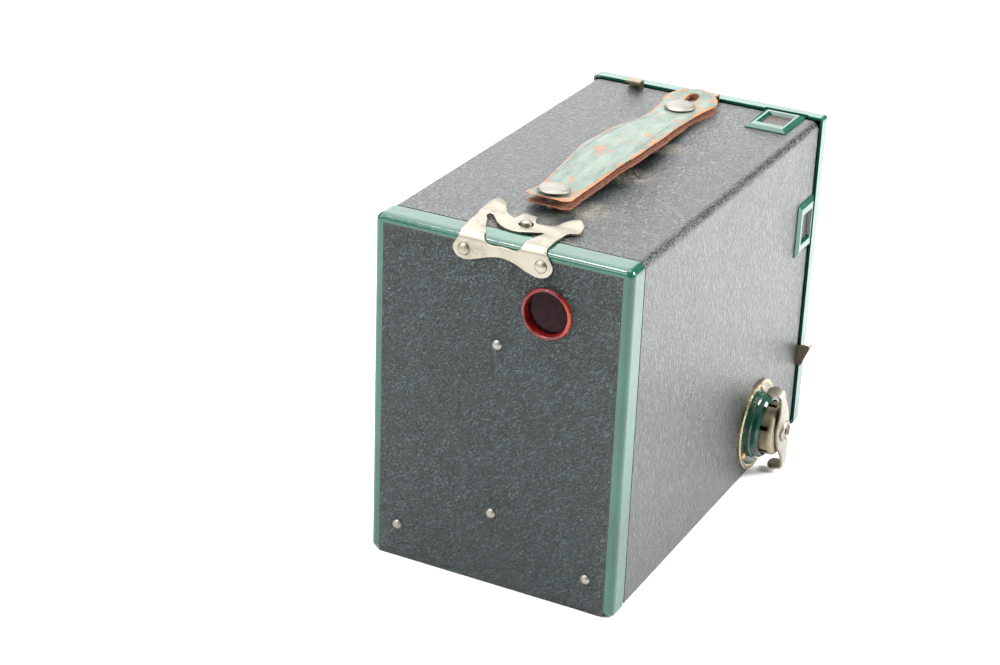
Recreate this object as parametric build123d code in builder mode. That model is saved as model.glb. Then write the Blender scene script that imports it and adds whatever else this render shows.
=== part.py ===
from build123d import *
from math import atan2, cos, degrees, hypot, radians, sin
import os

# Box camera for 6 x 9 cm roll film, in millimetres. The origin is the mouth of the tripod socket in the
# base. +Z is up, the lens looks along -Y, the back opens at +Y and the winding key is on the -X side.

# ---------------------------------------------------------------- driving dimensions
# Body
body_width = 74.6  # over the covering
body_height = 101.8  # base to the top of the covering
front_edge = -65.5  # front end of the body tube
lip_rear = 65.7  # rear end of the body tube
covering_rear = 58.9  # the covering stops here and the tube steps in
covering = 0.5  # leatherette thickness
shell_wall = 0.9
shoulder_radius = 2.6  # upper long edges
foot_radius = 1.0  # lower long edges

# Hinged back
door_face = 67.3  # rear face of the lacquered border
door_flange = 7.6  # how far its flange reaches forward
door_wall = 0.8
door_border_wall = 1.2
door_overhang = 0.4  # proud of the covering
door_foot = 0.3  # clear of the table
lip_clearance = 0.4
door_corner = 1.8  # rounded rear edge
door_shoulder = 2.4  # upper corners, seen from behind
flange_step_depth = 1.0
flange_step = 0.25
panel_margin_side = 2.8
panel_margin_top = 2.4
panel_recess = 0.4
panel_fit = 0.1

# Hinge
hinge_y = 64.85
hinge_z = 1.6
hinge_barrel = 1.1
hinge_wire = 0.6
hinge_play = 0.05
hinge_sheet = 0.5
hinge_half = body_width / 2 - 3.8
knuckle_length = 13.0
knuckle_gap = 0.4
base_notch = 63.0  # base wall and covering stop here, ahead of the barrel
notch_top = 1.7

# Red window and the back's rivets
window_x = -14.1
window_z = body_height - 16.7
window_ring_radius = 7.2
window_radius = 5.8
window_wall = 0.8
window_stand = 0.8
spring_rivets_z = (body_height - 29.1, 22.1)
spring_width = 10.0
spring_sheet = 0.4
spring_bow = 1.4
hinge_rivets_x = body_width / 2 - 8.2
hinge_rivets_z = 10.2
rivet_head = 1.5
rivet_shank = 0.75
rivet_rise = 0.6

# Latch
latch_x = -0.8
latch_sheet = 0.6
latch_half = 12.7
latch_split = 65.2  # the arm flexes from here
latch_lobe_z = body_height - 3.8
latch_lobe_radius = 3.2
latch_rivet_x = 11.2
latch_rivet_head = 1.7
latch_rise = 0.5  # arm over the covering
latch_stud_y = 54.6
latch_stud_radius = 1.6
latch_hole_play = 0.4
latch_stud_height = 2.1

# Strap
strap_thick = 2.4
strap_rear = 42.0
strap_front = -62.8
strap_rear_stud = 37.0
strap_front_stud = -47.0
strap_neck = 2.0
strap_slot = 2.3
strap_keyhole = 9.5
stud_head = 4.6
stud_head_thick = 1.0

# Front plate and shutter housing
plate_gap = 1.8  # slot between the body and the plate's rim
rim_depth = 5.0
plate_wall = 0.8
plate_overhang = 0.6
plate_foot = 0.1
plate_corner = 1.2  # nearly square
front_covering_margin = 2.6
board_wall = 0.8
board_skirt = 0.8
board_inset = 0.1
lens_z = body_height / 2 + 0.1
lens_opening = 9.0
bezel_radius = 12.0
lens_radius = 8.0
lens_cell_radius = 10.0
lens_cell_length = 5.6
lens_hollow = 1.0
lens_crown = 1.5
lens_edge = 1.6
board_aperture = 6.0
plate_screw_x = body_width / 2 - 6.3
plate_screw_radius = 1.2
plate_screw_head = 2.4

# Finders
finder_x = 11.05 - body_width / 2
top_finder_z = body_height - 12.8
side_finder_z = body_height - 31.5
finder_lens_radius = 6.0
finder_glass = 1.0
finder_bulge = 1.0
finder_wall = 0.6
frame_rise = 1.0
finder_depth = 11.4  # front to back, inside the body
frame_width_top = 12.8
frame_length_top = 17.0
frame_window_x = 8.6
frame_window_y = 10.6
frame_height_side = 16.6
frame_length_side = 12.0
frame_window_z = 9.6
frame_side_window_y = 7.6

# Shutter
shutter_window_radius = 20.0  # from the pivot to the middle of the disc's window
shutter_z = lens_z - shutter_window_radius
shutter_pin = 1.5
shutter_play = 0.05
lever_sheet = 0.8
disc_sheet = 0.5
slide_sheet = 0.6
lever_layer = -66.0  # rear face of the lever and of both pull tabs
disc_layer = -67.5
stop_layer = -68.7
disc_radius = 27.5
shutter_window = 7.0
shutter_rest_angle = 37.5
lever_tab_x = -body_width / 2 - 4.0
lever_tab_z = shutter_z - 6.0
lever_tab_width = 7.4
lever_tab_taper = 2.4  # how far its outer edge slopes in towards the bottom
lever_play = 0.5
stop_radii = (4.4, 3.2, 2.2)
stop_pitch = 7.0
stop_tab_x = -2.4
stop_jog_z = lens_z + 11.0
time_tab_x = 22.7
time_slide_foot = lens_z + 9.5
tab_width = 4.7
tab_height = 1.7
time_tab_curl = 3.4
stop_tab_curl = 2.0  # stays clear of the strap

# Film carrier and spools
spool_length = body_width - 9.1
spool_flange = 12.65
spool_flange_sheet = 0.8
spool_core = 5.6
spool_bore = 2.0
spool_pin_play = 0.05
spool_y = -33.5
take_up_z = 15.2
supply_z = body_height - 15.2
carrier_side = body_width / 2 - 3.1  # inner face of each side plate
carrier_plate = 1.0
carrier_front = -51.5
carrier_rear = 62.9
frame_film_width = body_width - 17.6
frame_film_height = body_height - 18.8
cone_mouth = 22.0
cone_sheet = 0.7
gate_sheet = 1.0
roller_y = 58.0
roller_radius = 2.0
roller_pin = 1.0
roller_play = 0.05
roller_low = 5.6
roller_high = body_height - 5.6
pivot_sheet = 0.4
pivot_width = 9.0
pivot_length = 22.0
pivot_reach = 4.0

# Key
key_y = spool_y
key_z = take_up_z
key_plate_radius = 14.0
key_plate_sheet = 0.5
key_rim = 0.9
key_dome_radius = 10.2
key_dome_height = 4.4
key_dome_wall = 0.8
key_drum_radius = 8.0
key_drum_wall = 0.7
key_drum_play = 0.5
key_drum_face = 8.0  # from the covering to the drum's outer end
key_drum_length = 6.0
key_shaft_radius = 2.0
key_play = 0.06
key_wing_gap = 0.4
key_wing_sheet = 0.9
key_wing_half = 13.7
key_wing_width = 8.6
key_wing_tip = 5.0
key_wing_tilt = 13.0
key_curl = 5.4
key_travel = 6.0
key_rivet_radius = 11.35
key_rivet_angles = (13.0, 234.0)
key_rivet_head = 1.1
key_bush_radius = 4.2
key_blade_width = 3.6  # narrow enough to draw out through the bush
key_blade_thick = 1.4
spool_slot_width = 6.6
spool_slot_thick = 2.0
spool_slot_depth = 4.2

# Tripod sockets
socket_bore = 2.6
socket_radius = 5.0
socket_flange = 9.0
socket_flange_sheet = 1.0
socket_depth = 6.5
socket_end = 1.0
side_socket_depth = 5.0
side_socket_end = 0.8

# ---------------------------------------------------------------- worked-out levels
half_width = body_width / 2
shell_half = half_width - covering
shell_bottom = covering
shell_top = body_height - covering
inner_half = shell_half - shell_wall
inner_bottom = shell_bottom + shell_wall
inner_top = shell_top - shell_wall
inner_radius = shoulder_radius - covering - shell_wall

door_half = half_width + door_overhang
door_top = body_height + door_overhang
door_front = door_face - door_flange
door_inner = door_face - door_border_wall
lip_half = door_half - door_wall - lip_clearance
lip_top = door_top - door_wall - lip_clearance
panel_half = door_half - panel_margin_side
panel_top = door_top - panel_margin_top
panel_seat = door_face - panel_recess
panel_face = panel_seat + covering

rim_rear = front_edge - plate_gap
plate_back = rim_rear - rim_depth + plate_wall
plate_face = rim_rear - rim_depth
plate_half = half_width + plate_overhang
plate_top = body_height + plate_overhang
board_front = front_edge + board_inset
board_rear = board_front + board_wall
board_top = inner_top
board_bottom = inner_bottom

key_face = -half_width
key_plate_face = key_face - key_plate_sheet
drum_end = key_face - key_drum_face
wing_inner = drum_end - key_wing_gap
wing_outer = wing_inner - key_wing_sheet
spool_half = spool_length / 2
lever_radius = hypot(lever_tab_x, shutter_z - lever_tab_z)
lever_angle = degrees(atan2(lever_tab_z - shutter_z, lever_tab_x))


# ---------------------------------------------------------------- planes, shared outlines, output
def upright(y):
    """A plane across the camera at depth y: local x is X, local y is Z, and it faces the front."""
    return Plane.XZ.offset(-y)


def side_on(x):
    """A plane along the camera at x: local x is Y, local y is Z, and it faces +X."""
    return Plane.YZ.offset(x)


def level(z):
    """A level plane at height z."""
    return Plane.XY.offset(z)


def box_outline(half, bottom, top, shoulder, foot):
    """The camera's cross-section, with rounded shoulders and a nearly square foot."""
    with BuildSketch(mode=Mode.PRIVATE) as outline:
        with Locations((0, (bottom + top) / 2)):
            Rectangle(2 * half, top - bottom)
        fillet(outline.vertices().group_by(Axis.Y)[-1], shoulder)
        if foot:
            fillet(outline.vertices().group_by(Axis.Y)[0], foot)
    return outline.sketch


def cap_rise(radius, rise):
    """Height of a spherical cap at half its radius, measured from its rim."""
    sphere = (radius**2 + rise**2) / (2 * rise)
    return (sphere**2 - (radius / 2) ** 2) ** 0.5 - (sphere - rise)


def side_slot(reach, radius):
    """A slot that starts on the local origin and runs along local x."""
    with BuildSketch(mode=Mode.PRIVATE) as outline:
        with Locations((reach / 2, 0)):
            SlotCenterToCenter(abs(reach), 2 * radius)
    return outline.sketch


def keep(part, name):
    """Label a finished piece and write it as its own node."""
    part.label = name
    export_step(part, f"parts/{name}.step")


os.makedirs("parts", exist_ok=True)

# ---------------------------------------------------------------- body shell and covering
# Finder openings through the top and the side take the glass, which is a little larger than the frame.
glass_x = frame_window_x + 1.0
glass_y = frame_window_y + 0.6
glass_z = frame_window_z + 1.0
side_glass_y = frame_side_window_y + 0.4
finder_front = board_rear + 0.3
top_glass_y = finder_front + glass_y / 2
side_glass_mid_y = finder_front + side_glass_y / 2
glass_play = 0.05

with BuildPart() as body_shell:
    with BuildSketch(upright(covering_rear)):
        add(box_outline(shell_half, shell_bottom, shell_top, shoulder_radius - covering, foot_radius / 2))
    extrude(amount=covering_rear - front_edge)
    with BuildSketch(upright(lip_rear)):
        add(box_outline(lip_half, shell_bottom, lip_top, inner_radius + shell_wall / 2, foot_radius / 2))
    extrude(amount=lip_rear - covering_rear)
    with BuildSketch(upright(lip_rear)):
        add(box_outline(inner_half, inner_bottom, inner_top, inner_radius, 0))
    extrude(amount=lip_rear - front_edge, mode=Mode.SUBTRACT)
    # Clearance for the hinge barrel along the lower rear edge
    with BuildSketch(side_on(-half_width)):
        with Locations((base_notch, 0)):
            Rectangle(lip_rear - base_notch + 1, notch_top, align=(Align.MIN, Align.MIN))
    extrude(amount=body_width, mode=Mode.SUBTRACT)
    # Finder openings
    with BuildSketch(level(inner_top)):
        with Locations((finder_x, top_glass_y)):
            Rectangle(glass_x + 2 * glass_play, glass_y + 2 * glass_play)
    extrude(amount=shell_wall, mode=Mode.SUBTRACT)
    with BuildSketch(side_on(-shell_half)):
        with Locations((side_glass_mid_y, side_finder_z)):
            Rectangle(side_glass_y + 2 * glass_play, glass_z + 2 * glass_play)
    extrude(amount=shell_wall, mode=Mode.SUBTRACT)
    # Holes for the strap studs, the latch stud, the key bush, the key plate's rivets and the sockets
    with BuildSketch(level(inner_top)):
        with Locations((0, strap_rear_stud), (0, strap_front_stud)):
            Circle(strap_neck)
        with Locations((latch_x, latch_stud_y)):
            Circle(latch_stud_radius)
    extrude(amount=shell_wall, mode=Mode.SUBTRACT)
    with BuildSketch(side_on(-shell_half)):
        with Locations((key_y, key_z)):
            Circle(key_bush_radius)
            for angle in key_rivet_angles:
                with Locations(
                    (key_rivet_radius * -sin(radians(angle)), key_rivet_radius * cos(radians(angle)))
                ):
                    Circle(rivet_shank)
    extrude(amount=shell_wall, mode=Mode.SUBTRACT)
    with BuildSketch(level(shell_bottom)):
        Circle(socket_radius)
    extrude(amount=shell_wall, mode=Mode.SUBTRACT)
    with BuildSketch(side_on(inner_half)):
        with Locations((0, lens_z)):
            Circle(socket_radius)
    extrude(amount=shell_wall, mode=Mode.SUBTRACT)
keep(body_shell.part, "body_shell")

# The covering goes over the top and down both sides. Its own panel lies under the base.
with BuildPart() as body_covering:
    with BuildSketch(upright(covering_rear)):
        add(box_outline(half_width, 0, body_height, shoulder_radius, foot_radius))
        add(
            box_outline(shell_half, shell_bottom, shell_top, shoulder_radius - covering, foot_radius / 2),
            mode=Mode.SUBTRACT,
        )
        with Locations((0, 0)):
            Rectangle(body_width, 2 * foot_radius, mode=Mode.SUBTRACT)
    extrude(amount=covering_rear - front_edge)
    with BuildSketch(level(shell_top)):
        with Locations((finder_x, top_glass_y)):
            Rectangle(glass_x + 2 * glass_play, glass_y + 2 * glass_play)
        with Locations((0, strap_rear_stud), (0, strap_front_stud)):
            Circle(strap_neck)
        with Locations((latch_x, latch_stud_y)):
            Circle(latch_stud_radius)
    extrude(amount=covering, mode=Mode.SUBTRACT)
    with BuildSketch(side_on(-half_width)):
        with Locations((side_glass_mid_y, side_finder_z)):
            Rectangle(side_glass_y + 2 * glass_play, glass_z + 2 * glass_play)
        with Locations((key_y, key_z)):
            Circle(key_dome_radius - key_dome_wall)
            for angle in key_rivet_angles:
                with Locations(
                    (key_rivet_radius * -sin(radians(angle)), key_rivet_radius * cos(radians(angle)))
                ):
                    Circle(rivet_shank)
    extrude(amount=covering, mode=Mode.SUBTRACT)
    with BuildSketch(side_on(shell_half)):
        with Locations((0, lens_z)):
            Circle(socket_radius)
    extrude(amount=covering, mode=Mode.SUBTRACT)
keep(body_covering.part, "body_covering")

with BuildPart() as base_covering:
    with BuildSketch(level(0)):
        with Locations((0, (front_edge + base_notch) / 2)):
            Rectangle(2 * (half_width - foot_radius), base_notch - front_edge)
        Circle(socket_radius, mode=Mode.SUBTRACT)
    extrude(amount=covering)
keep(base_covering.part, "base_covering")

# ---------------------------------------------------------------- tripod sockets
with BuildPart() as tripod_socket_bottom:
    with BuildSketch(level(0)):
        Circle(socket_radius)
    extrude(amount=socket_depth + socket_end)
    with BuildSketch(level(inner_bottom)):
        Circle(socket_flange)
    extrude(amount=socket_flange_sheet)
    with BuildSketch(level(0)):
        Circle(socket_bore)
    extrude(amount=socket_depth, mode=Mode.SUBTRACT)
keep(tripod_socket_bottom.part, "tripod_socket_bottom")

with BuildPart() as tripod_socket_side:
    with BuildSketch(side_on(half_width)):
        with Locations((0, lens_z)):
            Circle(socket_radius)
    extrude(amount=-(side_socket_depth + side_socket_end))
    with BuildSketch(side_on(inner_half)):
        with Locations((0, lens_z)):
            Circle(socket_flange)
    extrude(amount=-covering)
    with BuildSketch(side_on(half_width)):
        with Locations((0, lens_z)):
            Circle(socket_bore)
    extrude(amount=-side_socket_depth, mode=Mode.SUBTRACT)
keep(tripod_socket_side.part, "tripod_socket_side")

# ---------------------------------------------------------------- latch stud, strap and its studs
with BuildPart() as latch_stud:
    with BuildSketch(level(inner_top)):
        with Locations((latch_x, latch_stud_y)):
            Circle(latch_stud_radius)
    extrude(amount=body_height - inner_top + latch_stud_height)
    fillet(latch_stud.edges().group_by(Axis.Z)[-1], latch_stud_radius / 3)
    with BuildSketch(level(inner_top)):
        with Locations((latch_x, latch_stud_y)):
            Circle(2 * latch_stud_radius)
    extrude(amount=-shell_wall)
keep(latch_stud.part, "latch_stud")

# The strap's front tip turns up. It rises to a shallow hump and dips again before its square rear end.
strap_top = [
    (strap_front, body_height + 4.2),
    (-57.0, body_height + 3.2),
    (-52.0, body_height + 2.85),
    (strap_front_stud, body_height + 2.8),
    (-36.0, body_height + 3.0),
    (-20.0, body_height + 4.5),
    (4.0, body_height + 5.5),
    (20.0, body_height + 4.6),
    (32.0, body_height + 3.9),
    (strap_rear, body_height + 4.5),
]
head_undersides = ((strap_rear_stud, body_height + 4.7), (strap_front_stud, body_height + 3.15))
strap_half = [(-49.0, 6.9), (-38.0, 6.3), (-18.0, 7.9), (0.0, 8.5), (18.0, 7.1), (32.0, 6.4), (40.0, 6.7)]
strap_end_radius = 8.4
strap_end_y = strap_front + strap_end_radius

with BuildPart() as strap:
    with BuildSketch(level(body_height)):
        with BuildLine():
            left_side = Spline(*[(half, y) for y, half in strap_half])
            Line(left_side @ 1, (strap_half[-1][1] - 1.6, strap_rear))
            Line((strap_half[-1][1] - 1.6, strap_rear), (0, strap_rear))
            Line((0, strap_rear), (0, strap_half[0][0]))
            Line((0, strap_half[0][0]), left_side @ 0)
        make_face()
        mirror(about=Plane.YZ)
        with Locations((0, strap_end_y)):
            Circle(strap_end_radius)
        with Locations((0, strap_front_stud)):
            add(side_slot(strap_keyhole, strap_slot), rotation=-90, mode=Mode.SUBTRACT)
        with Locations((0, strap_rear_stud)):
            Circle(strap_slot, mode=Mode.SUBTRACT)
    extrude(amount=strap_end_radius)
    with BuildSketch(side_on(-2 * strap_end_radius)):
        with BuildLine():
            upper = Spline(*strap_top)
            lower = Spline(*[(y, z - strap_thick) for y, z in strap_top])
            Line(upper @ 0, lower @ 0)
            Line(upper @ 1, lower @ 1)
        make_face()
    extrude(amount=4 * strap_end_radius, mode=Mode.INTERSECT)
keep(strap.part, "strap")

with BuildPart() as strap_studs:
    for stud_y, head_z in head_undersides:
        with BuildSketch(level(inner_top - shell_wall)):
            with Locations((0, stud_y)):
                Circle(2 * strap_neck)
        extrude(amount=shell_wall)
        with BuildSketch(level(inner_top)):
            with Locations((0, stud_y)):
                Circle(strap_neck)
        extrude(amount=head_z - inner_top)
        with BuildSketch(level(head_z)):
            with Locations((0, stud_y)):
                Circle(stud_head)
        extrude(amount=stud_head_thick)
    fillet(strap_studs.faces().filter_by(Axis.Z).sort_by(Axis.Z)[-1].edges(), 0.4)
keep(strap_studs.part, "strap_studs")

# ---------------------------------------------------------------- hinged back
with BuildPart() as door_pan:
    with BuildSketch(upright(door_face)):
        add(box_outline(door_half, door_foot, door_top, door_shoulder, 1.2))
    extrude(amount=door_flange - flange_step_depth)
    fillet(
        door_pan.faces().sort_by(Axis.Y)[-1].edges().filter_by(
            lambda edge: edge.center().Z > door_foot + 0.5
        ),
        door_corner,
    )
    with BuildSketch(upright(door_front + flange_step_depth)):
        add(
            box_outline(
                door_half - flange_step, door_foot, door_top - flange_step, door_shoulder - flange_step, 1.2
            )
        )
    extrude(amount=flange_step_depth)
    with BuildSketch(upright(door_inner)):
        add(
            box_outline(
                door_half - door_wall, -door_flange, door_top - door_wall, door_shoulder - door_wall, 0
            )
        )
    extrude(amount=door_flange, mode=Mode.SUBTRACT)
    # Seat for the leatherette, then the window, spring, hinge and latch holes
    with BuildSketch(upright(door_face)):
        with Locations((0, panel_top)):
            Rectangle(2 * panel_half, body_height, align=(Align.CENTER, Align.MAX))
    extrude(amount=panel_recess, mode=Mode.SUBTRACT)
    with BuildSketch(upright(door_face)):
        with Locations((window_x, window_z)):
            Circle(window_radius + window_wall)
        with Locations(*[(0, z) for z in spring_rivets_z]):
            Circle(rivet_shank)
        with Locations((-hinge_rivets_x, hinge_rivets_z), (hinge_rivets_x, hinge_rivets_z)):
            Circle(rivet_shank)
        with Locations(
            (latch_x - latch_rivet_x, latch_lobe_z), (latch_x + latch_rivet_x, latch_lobe_z)
        ):
            Circle(rivet_shank)
    extrude(amount=door_border_wall, mode=Mode.SUBTRACT)
    # The flange's lower front corners are rounded, to clear the covering as the back opens.
    with BuildSketch(side_on(-door_half)):
        with BuildLine():
            Polyline((door_front, door_foot + 3), (door_front, door_foot), (door_front + 3, door_foot))
            RadiusArc((door_front + 3, door_foot), (door_front, door_foot + 3), 3)
        make_face()
    extrude(amount=2 * door_half, mode=Mode.SUBTRACT)
keep(door_pan.part, "door_pan")

with BuildPart() as door_covering:
    with BuildSketch(upright(panel_face)):
        with Locations((0, panel_top - panel_fit)):
            Rectangle(
                2 * (panel_half - panel_fit),
                panel_top - panel_fit - door_foot,
                align=(Align.CENTER, Align.MAX),
            )
        with Locations((window_x, window_z)):
            Circle(window_radius + window_wall, mode=Mode.SUBTRACT)
        with Locations(*[(0, z) for z in spring_rivets_z]):
            Circle(rivet_shank, mode=Mode.SUBTRACT)
        with Locations((-hinge_rivets_x, hinge_rivets_z), (hinge_rivets_x, hinge_rivets_z)):
            Circle(rivet_shank, mode=Mode.SUBTRACT)
        with Locations(
            (latch_x - latch_rivet_x, latch_lobe_z), (latch_x + latch_rivet_x, latch_lobe_z)
        ):
            Circle(rivet_shank, mode=Mode.SUBTRACT)
    extrude(amount=covering)
keep(door_covering.part, "door_covering")

# Red window: a flanged ring through the back, the red pane in it and a ring that holds both inside
with BuildPart() as window_ring:
    with BuildSketch(upright(panel_face + window_stand)):
        with Locations((window_x, window_z)):
            Circle(window_ring_radius)
    extrude(amount=window_stand)
    fillet(window_ring.edges().group_by(Axis.Y)[-1], 0.35)
    with BuildSketch(upright(panel_face)):
        with Locations((window_x, window_z)):
            Circle(window_radius + window_wall)
    extrude(amount=panel_face - door_inner + 0.6)
    with BuildSketch(upright(panel_face + window_stand)):
        with Locations((window_x, window_z)):
            Circle(window_radius)
    extrude(amount=door_flange, mode=Mode.SUBTRACT)
keep(window_ring.part, "window_ring")

with BuildPart() as red_window:
    with BuildSketch(upright(door_inner + 0.4)):
        with Locations((window_x, window_z)):
            Circle(window_radius)
    extrude(amount=0.6)
keep(red_window.part, "red_window")

with BuildPart() as window_backing:
    with BuildSketch(upright(door_inner)):
        with Locations((window_x, window_z)):
            Circle(window_ring_radius + 0.8)
            Circle(window_radius + window_wall, mode=Mode.SUBTRACT)
    extrude(amount=0.5)
keep(window_backing.part, "window_backing")

# Leaf spring that presses the film's backing paper flat, bowed inwards between its two rivets
spring_mid_z = sum(spring_rivets_z) / 2
spring_end = 3.0
with BuildPart() as pressure_spring:
    with BuildSketch(side_on(-spring_width / 2)):
        with BuildLine():
            rear_face = Polyline(
                (door_inner, spring_rivets_z[1] - spring_end), (door_inner, spring_rivets_z[1] + spring_end)
            )
            bow = ThreePointArc(
                rear_face @ 1,
                (door_inner - spring_bow, spring_mid_z),
                (door_inner, spring_rivets_z[0] - spring_end),
            )
            top_end = Line(bow @ 1, (door_inner, spring_rivets_z[0] + spring_end))
            Line(top_end @ 1, (door_inner - spring_sheet, spring_rivets_z[0] + spring_end))
            Line(
                (door_inner - spring_sheet, spring_rivets_z[0] + spring_end),
                (door_inner - spring_sheet, spring_rivets_z[0] - spring_end),
            )
            ThreePointArc(
                (door_inner - spring_sheet, spring_rivets_z[0] - spring_end),
                (door_inner - spring_bow - spring_sheet, spring_mid_z),
                (door_inner - spring_sheet, spring_rivets_z[1] + spring_end),
            )
            Line(
                (door_inner - spring_sheet, spring_rivets_z[1] + spring_end),
                (door_inner - spring_sheet, spring_rivets_z[1] - spring_end),
            )
            Line((door_inner - spring_sheet, spring_rivets_z[1] - spring_end), rear_face @ 0)
        make_face()
    extrude(amount=spring_width)
    with BuildSketch(upright(door_inner)):
        with Locations(*[(0, z) for z in spring_rivets_z]):
            Circle(rivet_shank)
    extrude(amount=1, mode=Mode.SUBTRACT)
keep(pressure_spring.part, "pressure_spring")

# The back's four small rivets: two for the spring, two for the hinge
back_rivets_at = [(0, z) for z in spring_rivets_z]
back_rivets_at += [(side * hinge_rivets_x, hinge_rivets_z) for side in (-1, 1)]
with BuildPart() as back_rivets:
    with BuildSketch(upright(panel_face + rivet_rise)):
        with Locations(*back_rivets_at):
            Circle(rivet_head)
    extrude(amount=rivet_rise)
    fillet(back_rivets.edges().group_by(Axis.Y)[-1], 0.4)
    with BuildSketch(upright(panel_face)):
        with Locations(*back_rivets_at):
            Circle(rivet_shank)
    extrude(amount=panel_face - door_inner + spring_sheet)
keep(back_rivets.part, "back_rivets")

# ---------------------------------------------------------------- hinge along the lower rear edge
knuckle_step = knuckle_length + knuckle_gap
body_knuckles = [-2 * knuckle_step, 0, 2 * knuckle_step]
door_knuckles = [-knuckle_step, knuckle_step]
leaf_depth = 9.0
leaf_height = 12.4
leaf_keepout = hinge_barrel + 0.4

with BuildPart() as hinge_body_leaf:
    for middle in body_knuckles:
        with BuildSketch(side_on(middle - knuckle_length / 2)):
            with Locations((hinge_y, hinge_z)):
                Circle(hinge_barrel)
            with Locations((hinge_y, inner_bottom)):
                Rectangle(leaf_depth, hinge_sheet, align=(Align.MAX, Align.MIN))
        extrude(amount=knuckle_length)
    with BuildSketch(level(inner_bottom)):
        with Locations((0, hinge_y - leaf_keepout)):
            Rectangle(2 * hinge_half, leaf_depth - leaf_keepout, align=(Align.CENTER, Align.MAX))
    extrude(amount=hinge_sheet)
    with BuildSketch(side_on(-hinge_half)):
        with Locations((hinge_y, hinge_z)):
            Circle(hinge_wire)
    extrude(amount=2 * hinge_half, mode=Mode.SUBTRACT)
keep(hinge_body_leaf.part, "hinge_body_leaf")

with BuildPart() as hinge_door_leaf:
    for middle in door_knuckles:
        with BuildSketch(side_on(middle - knuckle_length / 2)):
            with Locations((hinge_y, hinge_z)):
                Circle(hinge_barrel)
            with Locations((door_inner, hinge_z)):
                Rectangle(hinge_sheet, leaf_height / 2, align=(Align.MAX, Align.MIN))
        extrude(amount=knuckle_length)
    with BuildSketch(upright(door_inner)):
        with Locations((0, hinge_z + leaf_keepout)):
            Rectangle(2 * hinge_half, leaf_height - leaf_keepout, align=(Align.CENTER, Align.MIN))
        with Locations((-hinge_rivets_x, hinge_rivets_z), (hinge_rivets_x, hinge_rivets_z)):
            Circle(rivet_shank, mode=Mode.SUBTRACT)
    extrude(amount=hinge_sheet)
    with BuildSketch(side_on(-hinge_half)):
        with Locations((hinge_y, hinge_z)):
            Circle(hinge_wire + hinge_play)
    extrude(amount=2 * hinge_half, mode=Mode.SUBTRACT)
keep(hinge_door_leaf.part, "hinge_door_leaf")

with BuildPart() as hinge_pin:
    with BuildSketch(side_on(-hinge_half)):
        with Locations((hinge_y, hinge_z)):
            Circle(hinge_wire)
    extrude(amount=2 * hinge_half)
keep(hinge_pin.part, "hinge_pin")

# ---------------------------------------------------------------- latch
# One spring stamping. Its base is riveted to the back, and its arm flexes up from the bend.
latch_under = body_height + latch_rise
latch_inner_bend = 1.5
bend_y = panel_face - latch_inner_bend
bend_z = latch_under - latch_inner_bend
latch_base_bottom = latch_lobe_z - latch_lobe_radius
latch_waist = body_height - 4.2
latch_gap_bottom = body_height - 0.9
latch_gap_half = 5.4

with BuildPart() as latch_base:
    with BuildSketch(side_on(latch_x - latch_half - latch_lobe_radius)):
        with BuildLine():
            Line((panel_face, latch_base_bottom), (panel_face, bend_z))
            RadiusArc((panel_face, bend_z), (bend_y, latch_under), -latch_inner_bend)
            Polyline(
                (bend_y, latch_under),
                (latch_split, latch_under),
                (latch_split, latch_under + latch_sheet),
                (bend_y, latch_under + latch_sheet),
            )
            RadiusArc(
                (bend_y, latch_under + latch_sheet),
                (panel_face + latch_sheet, bend_z),
                latch_inner_bend + latch_sheet,
            )
            Polyline(
                (panel_face + latch_sheet, bend_z),
                (panel_face + latch_sheet, latch_base_bottom),
                (panel_face, latch_base_bottom),
            )
        make_face()
    extrude(amount=2 * (latch_half + latch_lobe_radius))
    with BuildSketch(upright(panel_face + 2 * latch_sheet)):
        with BuildLine():
            Polyline(
                (latch_x - latch_half, latch_lobe_z),
                (latch_x - latch_half, door_top + 2),
                (latch_x + latch_half, door_top + 2),
                (latch_x + latch_half, latch_lobe_z),
                (latch_x + latch_rivet_x, latch_base_bottom),
            )
            ThreePointArc(
                (latch_x + latch_rivet_x, latch_base_bottom),
                (latch_x, latch_waist),
                (latch_x - latch_rivet_x, latch_base_bottom),
            )
            Line((latch_x - latch_rivet_x, latch_base_bottom), (latch_x - latch_half, latch_lobe_z))
        make_face()
        with Locations(
            (latch_x - latch_rivet_x, latch_lobe_z), (latch_x + latch_rivet_x, latch_lobe_z)
        ):
            Circle(latch_lobe_radius)
            Circle(rivet_shank, mode=Mode.SUBTRACT)
        with Locations((latch_x, latch_gap_bottom)):
            add(
                box_outline(latch_gap_half, 0, latch_lobe_radius * 2, 0.5, 1.8),
                mode=Mode.SUBTRACT,
            )
    extrude(amount=door_flange, mode=Mode.INTERSECT)
keep(latch_base.part, "latch_base")

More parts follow.
